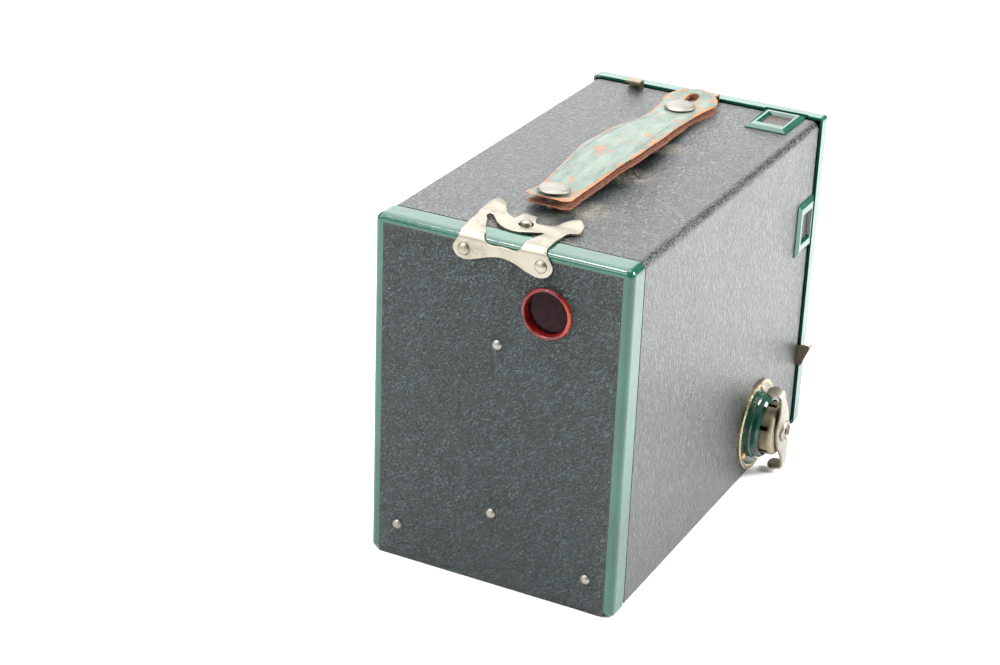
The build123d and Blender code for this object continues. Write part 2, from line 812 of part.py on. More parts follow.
with BuildPart() as latch_arm:
    with BuildSketch(level(latch_under)):
        with BuildLine():
            edge = Line((latch_x, latch_stud_y - 2.1), (latch_x + 6.2, latch_stud_y - 2.1))
            throat = RadiusArc(edge @ 1, (latch_x + 8.8, latch_stud_y - 5.2), -3.2)
            lobe = ThreePointArc(
                throat @ 1, (latch_x + 12.1, latch_stud_y - 8.4), (latch_x + 15.0, latch_stud_y - 4.6)
            )
            neck = ThreePointArc(
                lobe @ 1, (latch_x + 14.0, latch_stud_y - 1.4), (latch_x + 12.3, latch_stud_y + 0.6)
            )
            Polyline(
                neck @ 1, (latch_x + latch_half, latch_split), (latch_x, latch_split), edge @ 0
            )
        make_face()
        with BuildLine():
            crescent = ThreePointArc(
                (latch_x, latch_stud_y + 5.5),
                (latch_x + 5.3, latch_stud_y + 4.2),
                (latch_x + 9.5, latch_stud_y + 0.3),
            )
            Polyline(
                crescent @ 1,
                (latch_x + 7.2, latch_stud_y + 6.2),
                (latch_x + latch_gap_half, latch_split),
                (latch_x, latch_split),
                crescent @ 0,
            )
        make_face(mode=Mode.SUBTRACT)
        mirror(about=Plane(origin=(latch_x, 0, 0), z_dir=(1, 0, 0)))
        with BuildLine():
            Polyline(
                (latch_x - 1.4, latch_stud_y - 2.1),
                (latch_x - 0.6, latch_stud_y - 6.0),
                (latch_x + 3.2, latch_stud_y - 6.2),
                (latch_x + 4.2, latch_stud_y - 2.1),
                close=True,
            )
        make_face()
        with Locations((latch_x, latch_stud_y)):
            Circle(latch_stud_radius + latch_hole_play, mode=Mode.SUBTRACT)
    extrude(amount=latch_sheet)
keep(latch_arm.part, "latch_arm")

with BuildPart() as latch_rivets:
    with BuildSketch(upright(panel_face + latch_sheet + 1.0)):
        with Locations(
            (latch_x - latch_rivet_x, latch_lobe_z), (latch_x + latch_rivet_x, latch_lobe_z)
        ):
            Circle(latch_rivet_head)
    extrude(amount=1.0)
    fillet(latch_rivets.edges().group_by(Axis.Y)[-1], 0.8)
    with BuildSketch(upright(panel_face + latch_sheet)):
        with Locations(
            (latch_x - latch_rivet_x, latch_lobe_z), (latch_x + latch_rivet_x, latch_lobe_z)
        ):
            Circle(rivet_shank)
    extrude(amount=panel_face + latch_sheet - door_inner)
keep(latch_rivets.part, "latch_rivets")

# ---------------------------------------------------------------- front plate, its covering and screws
finder_windows = [(finder_x, top_finder_z), (finder_x, side_finder_z)]
plate_screws_at = [(-plate_screw_x, lens_z), (plate_screw_x, lens_z)]
notch_half = frame_width_top / 2 + 0.5
notch_depth = 0.8

with BuildPart() as front_plate:
    with BuildSketch(upright(rim_rear)):
        add(box_outline(plate_half, plate_foot, plate_top, plate_corner, plate_corner))
    extrude(amount=rim_depth)
    fillet(front_plate.faces().sort_by(Axis.Y)[0].edges(), 1.0)
    with BuildSketch(upright(rim_rear)):
        add(
            box_outline(
                plate_half - plate_wall,
                plate_foot + plate_wall,
                plate_top - plate_wall,
                plate_corner - plate_wall,
                plate_corner - plate_wall,
            )
        )
    extrude(amount=rim_depth - plate_wall, mode=Mode.SUBTRACT)
    with BuildSketch(upright(plate_back)):
        with Locations((0, lens_z)):
            Circle(lens_opening)
        with Locations(*finder_windows):
            Circle(finder_lens_radius + glass_play)
        with Locations(*plate_screws_at):
            Circle(plate_screw_radius)
    extrude(amount=plate_wall, mode=Mode.SUBTRACT)
    # The rim is cut back where the top finder's frame crosses the gap.
    with BuildSketch(level(plate_top)):
        with Locations((finder_x, rim_rear)):
            Rectangle(2 * notch_half, 2 * notch_depth)
    extrude(amount=-2 * plate_wall, mode=Mode.SUBTRACT)
    # A shallow thumb hollow in the rim's outer edge
    with BuildSketch(level(lens_z - 4.0)):
        with Locations((-plate_half - 2.4, plate_face - 2.4)):
            Circle(4.4)
    extrude(amount=7.0, mode=Mode.SUBTRACT)
keep(front_plate.part, "front_plate")

with BuildPart() as front_covering:
    with BuildSketch(upright(plate_face)):
        add(
            box_outline(
                plate_half - front_covering_margin,
                plate_foot + front_covering_margin,
                plate_top - front_covering_margin,
                plate_corner,
                plate_corner,
            )
        )
        with Locations((0, lens_z)):
            Circle(bezel_radius, mode=Mode.SUBTRACT)
        with Locations(*finder_windows):
            Circle(finder_lens_radius + 1.4, mode=Mode.SUBTRACT)
        with Locations(*plate_screws_at):
            Circle(plate_screw_head, mode=Mode.SUBTRACT)
    extrude(amount=covering)
keep(front_covering.part, "front_covering")

with BuildPart() as front_plate_screws:
    with BuildSketch(upright(plate_face)):
        with Locations(*plate_screws_at):
            Circle(plate_screw_head - 0.1)
    extrude(amount=1.1)
    fillet(front_plate_screws.edges().group_by(Axis.Y)[0], 0.6)
    with BuildSketch(upright(plate_face)):
        with Locations(*plate_screws_at):
            Circle(plate_screw_radius)
    extrude(amount=plate_face - board_rear)
    with BuildSketch(upright(plate_face - 0.6)):
        with Locations(*plate_screws_at):
            Rectangle(2 * plate_screw_head, 0.6)
    extrude(amount=0.6, mode=Mode.SUBTRACT)
keep(front_plate_screws.part, "front_plate_screws")

# ---------------------------------------------------------------- shutter board and lens
with BuildPart() as shutter_board:
    with BuildSketch(upright(board_rear)):
        add(box_outline(inner_half, board_bottom, board_top, inner_radius, 0))
    extrude(amount=board_rear - plate_back)
    with BuildSketch(upright(board_front)):
        add(
            box_outline(
                inner_half - board_skirt,
                board_bottom + board_skirt,
                board_top - board_skirt,
                inner_radius - board_skirt,
                0,
            )
        )
    extrude(amount=board_front - plate_back, mode=Mode.SUBTRACT)
    # Posts that the front plate's screws go into
    with BuildSketch(upright(board_front)):
        with Locations(*plate_screws_at):
            Circle(plate_screw_head)
    extrude(amount=board_front - plate_back)
    with BuildSketch(upright(board_rear)):
        with Locations((0, lens_z)):
            Circle(board_aperture)
        with Locations(*finder_windows):
            Circle(finder_lens_radius)
        with Locations((0, shutter_z)):
            Circle(shutter_pin)
    extrude(amount=board_wall, mode=Mode.SUBTRACT)
    with BuildSketch(upright(board_rear)):
        with Locations(*plate_screws_at):
            Circle(plate_screw_radius)
    extrude(amount=board_rear - plate_back, mode=Mode.SUBTRACT)
    # Slots in the skirt for the lever and both pull tabs
    with BuildSketch(side_on(-inner_half)):
        with Locations((lever_layer - lever_sheet / 2, shutter_z)):
            Rectangle(plate_gap, 2 * (shutter_z - lever_tab_z) + lever_tab_width + 3)
    extrude(amount=board_skirt, mode=Mode.SUBTRACT)
    with BuildSketch(level(board_top)):
        with Locations((stop_tab_x, lever_layer - slide_sheet / 2), (time_tab_x, lever_layer - slide_sheet / 2)):
            Rectangle(tab_width + 0.8, plate_gap)
    extrude(amount=-board_skirt, mode=Mode.SUBTRACT)
keep(shutter_board.part, "shutter_board")

with BuildPart() as lens_cell:
    with BuildSketch(upright(board_rear + lens_cell_length)):
        with Locations((0, lens_z)):
            Circle(lens_cell_radius)
            Circle(lens_radius, mode=Mode.SUBTRACT)
    extrude(amount=lens_cell_length)
    with BuildSketch(upright(board_rear + 1.2)):
        with Locations((0, lens_z)):
            Circle(lens_radius + 0.5)
            Circle(board_aperture, mode=Mode.SUBTRACT)
    extrude(amount=1.2)
keep(lens_cell.part, "lens_cell")

with BuildPart() as lens:
    with BuildSketch(Plane(origin=(0, board_rear + 1.2, lens_z), x_dir=(1, 0, 0), z_dir=(0, 0, 1))):
        with BuildLine():
            hollow = ThreePointArc(
                (0, lens_hollow), (lens_radius / 2, cap_rise(lens_radius, lens_hollow)), (lens_radius, 0)
            )
            rim = Line(hollow @ 1, (lens_radius, lens_edge))
            crown = ThreePointArc(
                rim @ 1,
                (lens_radius / 2, lens_edge + cap_rise(lens_radius, lens_crown)),
                (0, lens_edge + lens_crown),
            )
            Line(crown @ 1, hollow @ 0)
        make_face()
    revolve(axis=Axis((0, board_rear, lens_z), (0, 1, 0)))
keep(lens.part, "lens")

with BuildPart() as lens_bezel:
    with BuildSketch(upright(plate_face)):
        with Locations((0, lens_z)):
            Circle(bezel_radius)
            Circle(lens_opening - 0.8, mode=Mode.SUBTRACT)
    extrude(amount=1.0)
    fillet(lens_bezel.edges().group_by(Axis.Y)[0].sort_by(SortBy.RADIUS)[-1], 0.7)
    with BuildSketch(upright(plate_back)):
        with Locations((0, lens_z)):
            Circle(lens_opening)
            Circle(lens_opening - 0.8, mode=Mode.SUBTRACT)
    extrude(amount=plate_wall)
keep(lens_bezel.part, "lens_bezel")

# ---------------------------------------------------------------- finders
with BuildPart() as finder_lenses:
    for x, z in finder_windows:
        with BuildSketch(Plane(origin=(x, plate_back, z), x_dir=(1, 0, 0), z_dir=(0, 0, 1))):
            with BuildLine():
                back_line = Line((0, 0.6), (finder_lens_radius, 0.6))
                rim_line = Line(back_line @ 1, (finder_lens_radius, -plate_wall))
                bulge = ThreePointArc(
                    rim_line @ 1,
                    (finder_lens_radius / 2, -plate_wall - cap_rise(finder_lens_radius, finder_bulge)),
                    (0, -plate_wall - finder_bulge),
                )
                Line(bulge @ 1, back_line @ 0)
            make_face()
        revolve(axis=Axis((x, plate_back, z), (0, 1, 0)))
keep(finder_lenses.part, "finder_lenses")

with BuildPart() as finder_bezels:
    with BuildSketch(upright(plate_face)):
        with Locations(*finder_windows):
            Circle(finder_lens_radius + 1.3)
            Circle(finder_lens_radius + glass_play, mode=Mode.SUBTRACT)
    extrude(amount=1.0)
keep(finder_bezels.part, "finder_bezels")

top_box_half = glass_x / 2 + finder_wall
top_box_low = top_finder_z - finder_lens_radius
top_box_rear = board_rear + finder_depth
mirror_sheet = 0.8

with BuildPart() as top_finder_box:
    with BuildSketch(side_on(finder_x - top_box_half)):
        with BuildLine():
            Polyline(
                (board_rear, top_box_low),
                (top_box_rear, top_box_low + finder_depth),
                (top_box_rear, inner_top),
                (board_rear, inner_top),
                close=True,
            )
        make_face()
    extrude(amount=2 * top_box_half)
    with BuildSketch(side_on(finder_x - glass_x / 2)):
        with BuildLine():
            Polyline(
                (board_rear, top_box_low + 1.5 * finder_wall),
                (top_box_rear - finder_wall, top_box_low + finder_depth + finder_wall / 2),
                (top_box_rear - finder_wall, inner_top),
                (board_rear, inner_top),
                close=True,
            )
        make_face()
    extrude(amount=glass_x, mode=Mode.SUBTRACT)
keep(top_finder_box.part, "top_finder_box")

side_box_inner = finder_x + finder_lens_radius
side_box_low = side_finder_z - glass_z / 2 - finder_wall
side_box_rear = board_rear + finder_depth
with BuildPart() as side_finder_box:
    with BuildSketch(level(side_box_low)):
        with BuildLine():
            Polyline(
                (side_box_inner, board_rear),
                (side_box_inner - finder_depth, side_box_rear),
                (-inner_half, side_box_rear),
                (-inner_half, board_rear),
                close=True,
            )
        make_face()
    extrude(amount=glass_z + 2 * finder_wall)
    with BuildSketch(level(side_box_low + finder_wall)):
        with BuildLine():
            Polyline(
                (side_box_inner - 1.5 * finder_wall, board_rear),
                (side_box_inner - finder_depth - finder_wall / 2, side_box_rear - finder_wall),
                (-inner_half, side_box_rear - finder_wall),
                (-inner_half, board_rear),
                close=True,
            )
        make_face()
    extrude(amount=glass_z, mode=Mode.SUBTRACT)
keep(side_finder_box.part, "side_finder_box")

# Each mirror lies on its box's slanting wall.
with BuildPart() as finder_mirrors:
    with BuildSketch(side_on(finder_x - glass_x / 2 + 0.2)):
        with BuildLine():
            low = (board_rear + 0.4, top_box_low + 1.5 * finder_wall + 0.4)
            Polyline(
                low,
                (low[0] + finder_depth - 2.6, low[1] + finder_depth - 2.6),
                (low[0] + finder_depth - 2.6 - mirror_sheet, low[1] + finder_depth - 2.6 + mirror_sheet),
                (low[0], low[1] + 2 * mirror_sheet),
                close=True,
            )
        make_face()
    extrude(amount=glass_x - 0.4)
    with BuildSketch(level(side_finder_z - glass_z / 2 + 0.2)):
        with BuildLine():
            near = (side_box_inner - 1.5 * finder_wall - 0.4, board_rear + 0.4)
            Polyline(
                near,
                (near[0] - finder_depth + 2.6, near[1] + finder_depth - 2.6),
                (near[0] - finder_depth + 2.6 - mirror_sheet, near[1] + finder_depth - 2.6 - mirror_sheet),
                (near[0] - 2 * mirror_sheet, near[1]),
                close=True,
            )
        make_face()
    extrude(amount=glass_z - 0.4)
keep(finder_mirrors.part, "finder_mirrors")

with BuildPart() as finder_glasses:
    with BuildSketch(level(body_height - finder_glass)):
        with Locations((finder_x, top_glass_y)):
            Rectangle(glass_x, glass_y)
    extrude(amount=finder_glass)
    with BuildSketch(side_on(-half_width)):
        with Locations((side_glass_mid_y, side_finder_z)):
            Rectangle(side_glass_y, glass_z)
    extrude(amount=finder_glass)
keep(finder_glasses.part, "finder_glasses")

top_frame_front = front_edge - 1.0
with BuildPart() as top_finder_frame:
    with BuildSketch(level(body_height)):
        with Locations((finder_x, top_frame_front + frame_length_top / 2)):
            Rectangle(frame_width_top, frame_length_top)
    extrude(amount=frame_rise)
    chamfer(top_finder_frame.faces().sort_by(Axis.Z)[-1].edges(), 0.7, 1.4)
    with BuildSketch(level(body_height + frame_rise)):
        with Locations((finder_x, top_glass_y)):
            Rectangle(frame_window_x, frame_window_y)
    extrude(amount=-frame_rise, taper=18, mode=Mode.SUBTRACT)
keep(top_finder_frame.part, "top_finder_frame")

side_frame_front = front_edge - 0.5
with BuildPart() as side_finder_frame:
    with BuildSketch(side_on(-half_width)):
        with Locations((side_frame_front + frame_length_side / 2, side_finder_z)):
            Rectangle(frame_length_side, frame_height_side)
    extrude(amount=-frame_rise)
    chamfer(side_finder_frame.faces().sort_by(Axis.X)[0].edges(), 0.7, 1.4)
    with BuildSketch(side_on(-half_width - frame_rise)):
        with Locations((side_glass_mid_y, side_finder_z)):
            Rectangle(frame_side_window_y, frame_window_z)
    extrude(amount=frame_rise, taper=18, mode=Mode.SUBTRACT)
keep(side_finder_frame.part, "side_finder_frame")

# ---------------------------------------------------------------- shutter
shutter_axis = Axis((0, 0, shutter_z), (0, 1, 0))
pin_head = 2.4
pin_front = disc_layer - disc_sheet - 0.4

with BuildPart() as shutter_pivot:
    with BuildSketch(upright(board_rear)):
        with Locations((0, shutter_z)):
            Circle(shutter_pin)
    extrude(amount=board_rear - pin_front)
    with BuildSketch(upright(pin_front)):
        with Locations((0, shutter_z)):
            Circle(pin_head)
    extrude(amount=0.5)
    with BuildSketch(upright(board_rear + 0.5)):
        with Locations((0, shutter_z)):
            Circle(pin_head)
    extrude(amount=0.5)
keep(shutter_pivot.part, "shutter_pivot")

lever_tip = 3.2
with BuildPart() as shutter_lever:
    with BuildSketch(upright(lever_layer)):
        with Locations((0, shutter_z)):
            Circle(5.0)
        with BuildLine():
            Polyline(
                (0, shutter_z - 4.0),
                (-29.5, shutter_z - 8.0),
                (-inner_half - 1.0, lever_tab_z - 3.0),
                (-inner_half - 1.0, lever_tab_z + 3.0),
                (-29.5, shutter_z - 1.0),
                (0, shutter_z + 4.0),
                close=True,
            )
        make_face()
        with BuildLine():
            Polyline(
                (-inner_half - 1.0, lever_tab_z - 3.0),
                (lever_tab_x + lever_tab_taper + 0.6, lever_tab_z - lever_tab_width / 2),
                (lever_tab_x + lever_tab_taper, lever_tab_z - lever_tab_width / 2 + 0.6),
                (lever_tab_x, lever_tab_z + lever_tab_width / 2 - 0.6),
                (lever_tab_x + 0.8, lever_tab_z + lever_tab_width / 2),
                (-inner_half - 1.0, lever_tab_z + 3.0),
                close=True,
            )
        make_face()
        with Locations((0, shutter_z)):
            Circle(shutter_pin + shutter_play, mode=Mode.SUBTRACT)
    extrude(amount=lever_sheet)
    # The upper half of the finger end's sloping edge is turned forward.
    with BuildSketch(upright(lever_layer)):
        with BuildLine():
            Polyline(
                (lever_tab_x, lever_tab_z + lever_tab_width / 2 - 0.6),
                (lever_tab_x + lever_tab_taper / 2, lever_tab_z),
                (lever_tab_x + lever_tab_taper / 2 + lever_sheet, lever_tab_z),
                (lever_tab_x + lever_sheet, lever_tab_z + lever_tab_width / 2 - 0.6),
                close=True,
            )
        make_face()
    extrude(amount=lever_tip)
    # Post that the spring hooks on, beyond the disc's edge
    with BuildSketch(upright(lever_layer - lever_sheet)):
        with Locations((-30.6, shutter_z - 4.7)):
            Circle(0.6)
    extrude(amount=3.2)
keep(shutter_lever.part, "shutter_lever")

window_angle = 90 + shutter_rest_angle
window_at = (
    shutter_window_radius * cos(radians(window_angle)),
    shutter_z + shutter_window_radius * sin(radians(window_angle)),
)
disc_post_angle = 194.0
disc_post = (
    22.0 * cos(radians(disc_post_angle)),
    shutter_z + 22.0 * sin(radians(disc_post_angle)),
)
with BuildPart() as shutter_disc:
    with BuildSketch(upright(disc_layer)):
        with Locations((0, shutter_z)):
            Circle(disc_radius)
            Circle(shutter_pin + shutter_play, mode=Mode.SUBTRACT)
        with Locations(window_at):
            Circle(shutter_window, mode=Mode.SUBTRACT)
    extrude(amount=disc_sheet)
    with BuildSketch(upright(disc_layer - disc_sheet)):
        with Locations(disc_post):
            Circle(0.6)
    extrude(amount=1.6)
keep(shutter_disc.part, "shutter_disc")

# Over-centre spring between the lever's post and the disc's post
post_gap = (-30.6 - disc_post[0], shutter_z - 4.7 - disc_post[1])
spring_run = hypot(*post_gap)
spring_dir = (post_gap[0] / spring_run, 0, post_gap[1] / spring_run)
coil_start = 1.6
coil_length = spring_run - 2 * coil_start
coil_radius = 0.8
coil_wire = 0.18
coil_layer = disc_layer - disc_sheet - 1.1
coil_base = (
    disc_post[0] + spring_dir[0] * coil_start,
    coil_layer,
    disc_post[1] + spring_dir[2] * coil_start,
)
with BuildPart() as shutter_spring:
    with BuildLine() as coil_path:
        Helix(coil_length / 7, coil_length, coil_radius, center=coil_base, direction=spring_dir)
    with BuildSketch(Plane(origin=coil_path.line @ 0, z_dir=coil_path.line % 0)):
        Circle(coil_wire)
    sweep(is_frenet=True)
keep(shutter_spring.part, "shutter_spring")

# Stop slide: three openings in a row, joggled back at its top to leave through the gap
slide_half = 7.0
stop_foot = lens_z - 2 * stop_pitch - 3.2
slot_top = board_top - board_skirt
tab_top = plate_top + tab_height
with BuildPart() as stop_slide:
    with BuildSketch(upright(stop_layer)):
        with Locations((0, stop_foot)):
            Rectangle(2 * slide_half, stop_jog_z - stop_foot, align=(Align.CENTER, Align.MIN))
        for number, radius in enumerate(stop_radii):
            with Locations((0, lens_z - number * stop_pitch)):
                Circle(radius, mode=Mode.SUBTRACT)
    extrude(amount=slide_sheet)
    with BuildSketch(side_on(stop_tab_x - tab_width / 2)):
        with BuildLine():
            Polyline(
                (stop_layer, stop_jog_z - 2),
                (stop_layer, stop_jog_z),
                (lever_layer, stop_jog_z + 2.7),
                (lever_layer, tab_top - slide_sheet),
                (lever_layer + stop_tab_curl, tab_top - slide_sheet),
                (lever_layer + stop_tab_curl, tab_top),
                (lever_layer - slide_sheet, tab_top),
                (lever_layer - slide_sheet, stop_jog_z + 2.7),
                (stop_layer - slide_sheet, stop_jog_z),
                (stop_layer - slide_sheet, stop_jog_z - 2),
                close=True,
            )
        make_face()
    extrude(amount=tab_width)
keep(stop_slide.part, "stop_slide")

with BuildPart() as time_slide:
    with BuildSketch(side_on(time_tab_x - tab_width / 2)):
        with BuildLine():
            Polyline(
                (lever_layer, time_slide_foot),
                (lever_layer, tab_top - slide_sheet),
                (lever_layer + time_tab_curl, tab_top - slide_sheet),
                (lever_layer + time_tab_curl, tab_top),
                (lever_layer - slide_sheet, tab_top),
                (lever_layer - slide_sheet, time_slide_foot),
                close=True,
            )
        make_face()
    extrude(amount=tab_width)
    # Hook at the foot that holds the disc half way for a time exposure
    with BuildSketch(upright(lever_layer)):
        with Locations((time_tab_x + tab_width / 2, time_slide_foot)):
            Rectangle(9.0, 3.0, align=(Align.MAX, Align.MIN))
    extrude(amount=slide_sheet)
keep(time_slide.part, "time_slide")

# Bridges on the board that keep both slides in line
guide_sheet = 0.5
guide_play = 0.3
guide_height = 4.0
guide_z = lens_z + 33.0
with BuildPart() as slide_guides:
    for guide_x in (stop_tab_x, time_tab_x):
        with BuildSketch(level(guide_z)):
            with Locations((guide_x, board_front)):
                Rectangle(
                    tab_width + 2 * (guide_play + guide_sheet),
                    board_front - lever_layer + slide_sheet + guide_play + guide_sheet,
                    align=(Align.CENTER, Align.MAX),
                )
                Rectangle(
                    tab_width + 2 * guide_play,
                    board_front - lever_layer + slide_sheet + guide_play,
                    align=(Align.CENTER, Align.MAX),
                    mode=Mode.SUBTRACT,
                )
        extrude(amount=guide_height)
keep(slide_guides.part, "slide_guides")

# ---------------------------------------------------------------- film carrier
carrier_low = inner_bottom
carrier_high = inner_top - 2 * shell_wall
gate_half = carrier_side
spool_centres = [(spool_y, take_up_z), (spool_y, supply_z)]
roller_centres = [(roller_y, roller_low), (roller_y, roller_high)]
pin_hole = spool_bore - spool_pin_play

for side, name in ((-1, "carrier_side_key"), (1, "carrier_side_far")):
    with BuildPart() as carrier_plate_part:
        with BuildSketch(side_on(side * carrier_side)):
            with Locations(((carrier_front + carrier_rear) / 2, (carrier_low + carrier_high) / 2)):
                Rectangle(carrier_rear - carrier_front, carrier_high - carrier_low)
            with Locations(*roller_centres):
                Circle(roller_pin, mode=Mode.SUBTRACT)
            if side < 0:
                with Locations((key_y, key_z)):
                    Circle(key_shaft_radius + 1.2, mode=Mode.SUBTRACT)
            else:
                # A slot open to the front lets the carrier pass the side tripod socket.
                with Locations((carrier_front, lens_z)):
                    Rectangle(
                        socket_flange + 1 - carrier_front,
                        2 * (socket_flange + 1),
                        align=(Align.MIN, Align.CENTER),
                        mode=Mode.SUBTRACT,
                    )
        extrude(amount=side * carrier_plate)
    keep(carrier_plate_part.part, name)

with BuildPart() as carrier_front_plate:
    with BuildSketch(upright(carrier_front)):
        with Locations((0, (carrier_low + carrier_high) / 2)):
            Rectangle(2 * carrier_side, carrier_high - carrier_low)
        with Locations((0, lens_z)):
            Rectangle(cone_mouth, cone_mouth, mode=Mode.SUBTRACT)
    extrude(amount=-carrier_plate)
keep(carrier_front_plate.part, "carrier_front_plate")

cone_front = carrier_front + carrier_plate
cone_rear = carrier_rear - gate_sheet
with BuildPart() as light_cone:
    with BuildSketch(upright(cone_front)):
        with Locations((0, lens_z)):
            Rectangle(cone_mouth + 2 * cone_sheet, cone_mouth + 2 * cone_sheet)
    with BuildSketch(upright(cone_rear)):
        with Locations((0, lens_z)):
            Rectangle(frame_film_width + 2 * cone_sheet, frame_film_height + 2 * cone_sheet)
    loft()
    with BuildSketch(upright(cone_front)):
        with Locations((0, lens_z)):
            Rectangle(cone_mouth, cone_mouth)
    with BuildSketch(upright(cone_rear)):
        with Locations((0, lens_z)):
            Rectangle(frame_film_width, frame_film_height)
    loft(mode=Mode.SUBTRACT)
keep(light_cone.part, "light_cone")

gate_margin = 1.6
with BuildPart() as film_gate:
    with BuildSketch(upright(carrier_rear)):
        with Locations((0, lens_z)):
            Rectangle(2 * gate_half, frame_film_height + 2 * gate_margin)
            Rectangle(frame_film_width, frame_film_height, mode=Mode.SUBTRACT)
    extrude(amount=gate_sheet)
keep(film_gate.part, "film_gate")

for (centre_y, centre_z), name in zip(roller_centres, ("film_roller_lower", "film_roller_upper")):
    with BuildPart() as film_roller:
        with BuildSketch(side_on(-carrier_side + 0.5)):
            with Locations((centre_y, centre_z)):
                Circle(roller_radius)
        extrude(amount=2 * carrier_side - 1.0)
        with BuildSketch(side_on(-carrier_side - carrier_plate / 2)):
            with Locations((centre_y, centre_z)):
                Circle(roller_pin - roller_play)
        extrude(amount=2 * carrier_side + carrier_plate)
    keep(film_roller.part, name)

# Sprung pivots that hold the spools: one facing the key and two for the supply spool
pivots = [(1, take_up_z), (1, supply_z), (-1, supply_z)]
with BuildPart() as pivot_springs:
    for side, centre_z in pivots:
        with BuildSketch(side_on(side * carrier_side)):
            with Locations((spool_y, centre_z)):
                add(side_slot(pivot_length, pivot_width / 2))
                Circle(spool_bore / 2, mode=Mode.SUBTRACT)
        extrude(amount=-side * pivot_sheet)
keep(pivot_springs.part, "pivot_springs")

with BuildPart() as spool_pivots:
    for side, centre_z in pivots:
        with BuildSketch(side_on(side * carrier_side)):
            with Locations((spool_y, centre_z)):
                Circle(spool_bore / 2)
        extrude(amount=-side * pivot_sheet)
        with BuildSketch(side_on(side * (carrier_side - pivot_sheet))):
            with Locations((spool_y, centre_z)):
                Circle(pin_hole)
        extrude(amount=-side * pivot_reach)
keep(spool_pivots.part, "spool_pivots")

# ---------------------------------------------------------------- take-up spool
core_half = spool_half - spool_flange_sheet
with BuildPart() as spool_core_part:
    with BuildSketch(side_on(-core_half)):
        with Locations((spool_y, take_up_z)):
            Circle(spool_core)
    extrude(amount=2 * core_half)
    with BuildSketch(side_on(-core_half)):
        with Locations((spool_y, take_up_z)):
            Rectangle(spool_slot_thick, spool_slot_width)
    extrude(amount=spool_slot_depth, mode=Mode.SUBTRACT)
    with BuildSketch(side_on(core_half)):
        with Locations((spool_y, take_up_z)):
            Circle(spool_bore)
    extrude(amount=-spool_slot_depth, mode=Mode.SUBTRACT)
    # Slit that takes the end of the backing paper
    with BuildSketch(side_on(-20)):
        with Locations((spool_y, take_up_z)):
            Rectangle(1.2, 2 * spool_core)
    extrude(amount=40, mode=Mode.SUBTRACT)
keep(spool_core_part.part, "take_up_spool_core")

with BuildPart() as spool_flanges:
    for side in (-1, 1):
        with BuildSketch(side_on(side * core_half)):
            with Locations((spool_y, take_up_z)):
                Circle(spool_flange)
                if side < 0:
                    Rectangle(spool_slot_thick, spool_slot_width, mode=Mode.SUBTRACT)
                    Circle(key_shaft_radius + key_play, mode=Mode.SUBTRACT)
                else:
                    Circle(spool_bore, mode=Mode.SUBTRACT)
        extrude(amount=side * spool_flange_sheet)
keep(spool_flanges.part, "take_up_spool_flanges")

# ---------------------------------------------------------------- winding key
key_axis = Axis((key_face, key_y, key_z), (-1, 0, 0))
key_section = Plane(origin=(key_face, key_y, key_z), x_dir=(-1, 0, 0), z_dir=(0, -1, 0))

# Stamped plate: rolled rim, flat ring for the rivets, then a stepped dome open at its top
with BuildPart() as key_plate:
    with BuildSketch(key_section):
        with BuildLine():
            Polyline(
                (0, key_dome_radius - key_dome_wall),
                (0, key_plate_radius),
                (key_plate_sheet + 0.1, key_plate_radius),
                (key_rim, key_plate_radius - 0.5),
                (key_rim, key_plate_radius - 0.9),
                (key_plate_sheet, key_plate_radius - 1.5),
                (key_plate_sheet, key_dome_radius),
                (key_dome_height * 0.42, key_dome_radius - 0.15),
                (key_dome_height * 0.50, key_dome_radius - 0.55),
                (key_dome_height * 0.82, key_dome_radius - 0.65),
                (key_dome_height, key_dome_radius - 1.25),
                (key_dome_height, key_drum_radius + key_drum_play),
                (key_dome_height - key_dome_wall, key_drum_radius + key_drum_play),
                (key_dome_height - key_dome_wall - 0.3, key_dome_radius - key_dome_wall - 0.65),
                close=True,
            )
        make_face()
    revolve(axis=key_axis)
    with BuildSketch(side_on(key_face)):
        with Locations((key_y, key_z)):
            for angle in key_rivet_angles:
                with Locations(
                    (key_rivet_radius * -sin(radians(angle)), key_rivet_radius * cos(radians(angle)))
                ):
                    Circle(rivet_shank)
    extrude(amount=-2 * key_rim, mode=Mode.SUBTRACT)
keep(key_plate.part, "key_plate")

with BuildPart() as key_plate_rivets:
    for angle in key_rivet_angles:
        rivet_at = (
            key_y - key_rivet_radius * sin(radians(angle)),
            key_z + key_rivet_radius * cos(radians(angle)),
        )
        with BuildSketch(side_on(-inner_half)):
            with Locations(rivet_at):
                Circle(rivet_shank)
        extrude(amount=-(half_width - inner_half + key_plate_sheet))
        with BuildSketch(side_on(key_plate_face)):
            with Locations(rivet_at):
                Circle(key_rivet_head)
        extrude(amount=-0.5)
keep(key_plate_rivets.part, "key_plate_rivets")

with BuildPart() as key_bush:
    with BuildSketch(side_on(-shell_half)):
        with Locations((key_y, key_z)):
            Circle(key_bush_radius)
    extrude(amount=shell_wall)
    with BuildSketch(side_on(-shell_half)):
        with Locations((key_y, key_z)):
            Circle(key_bush_radius + 1.6)
    extrude(amount=-covering)
    with BuildSketch(side_on(-half_width)):
        with Locations((key_y, key_z)):
            Circle(key_shaft_radius + key_play)
    extrude(amount=covering + shell_wall + 0.1, mode=Mode.SUBTRACT)
keep(key_bush.part, "key_bush")

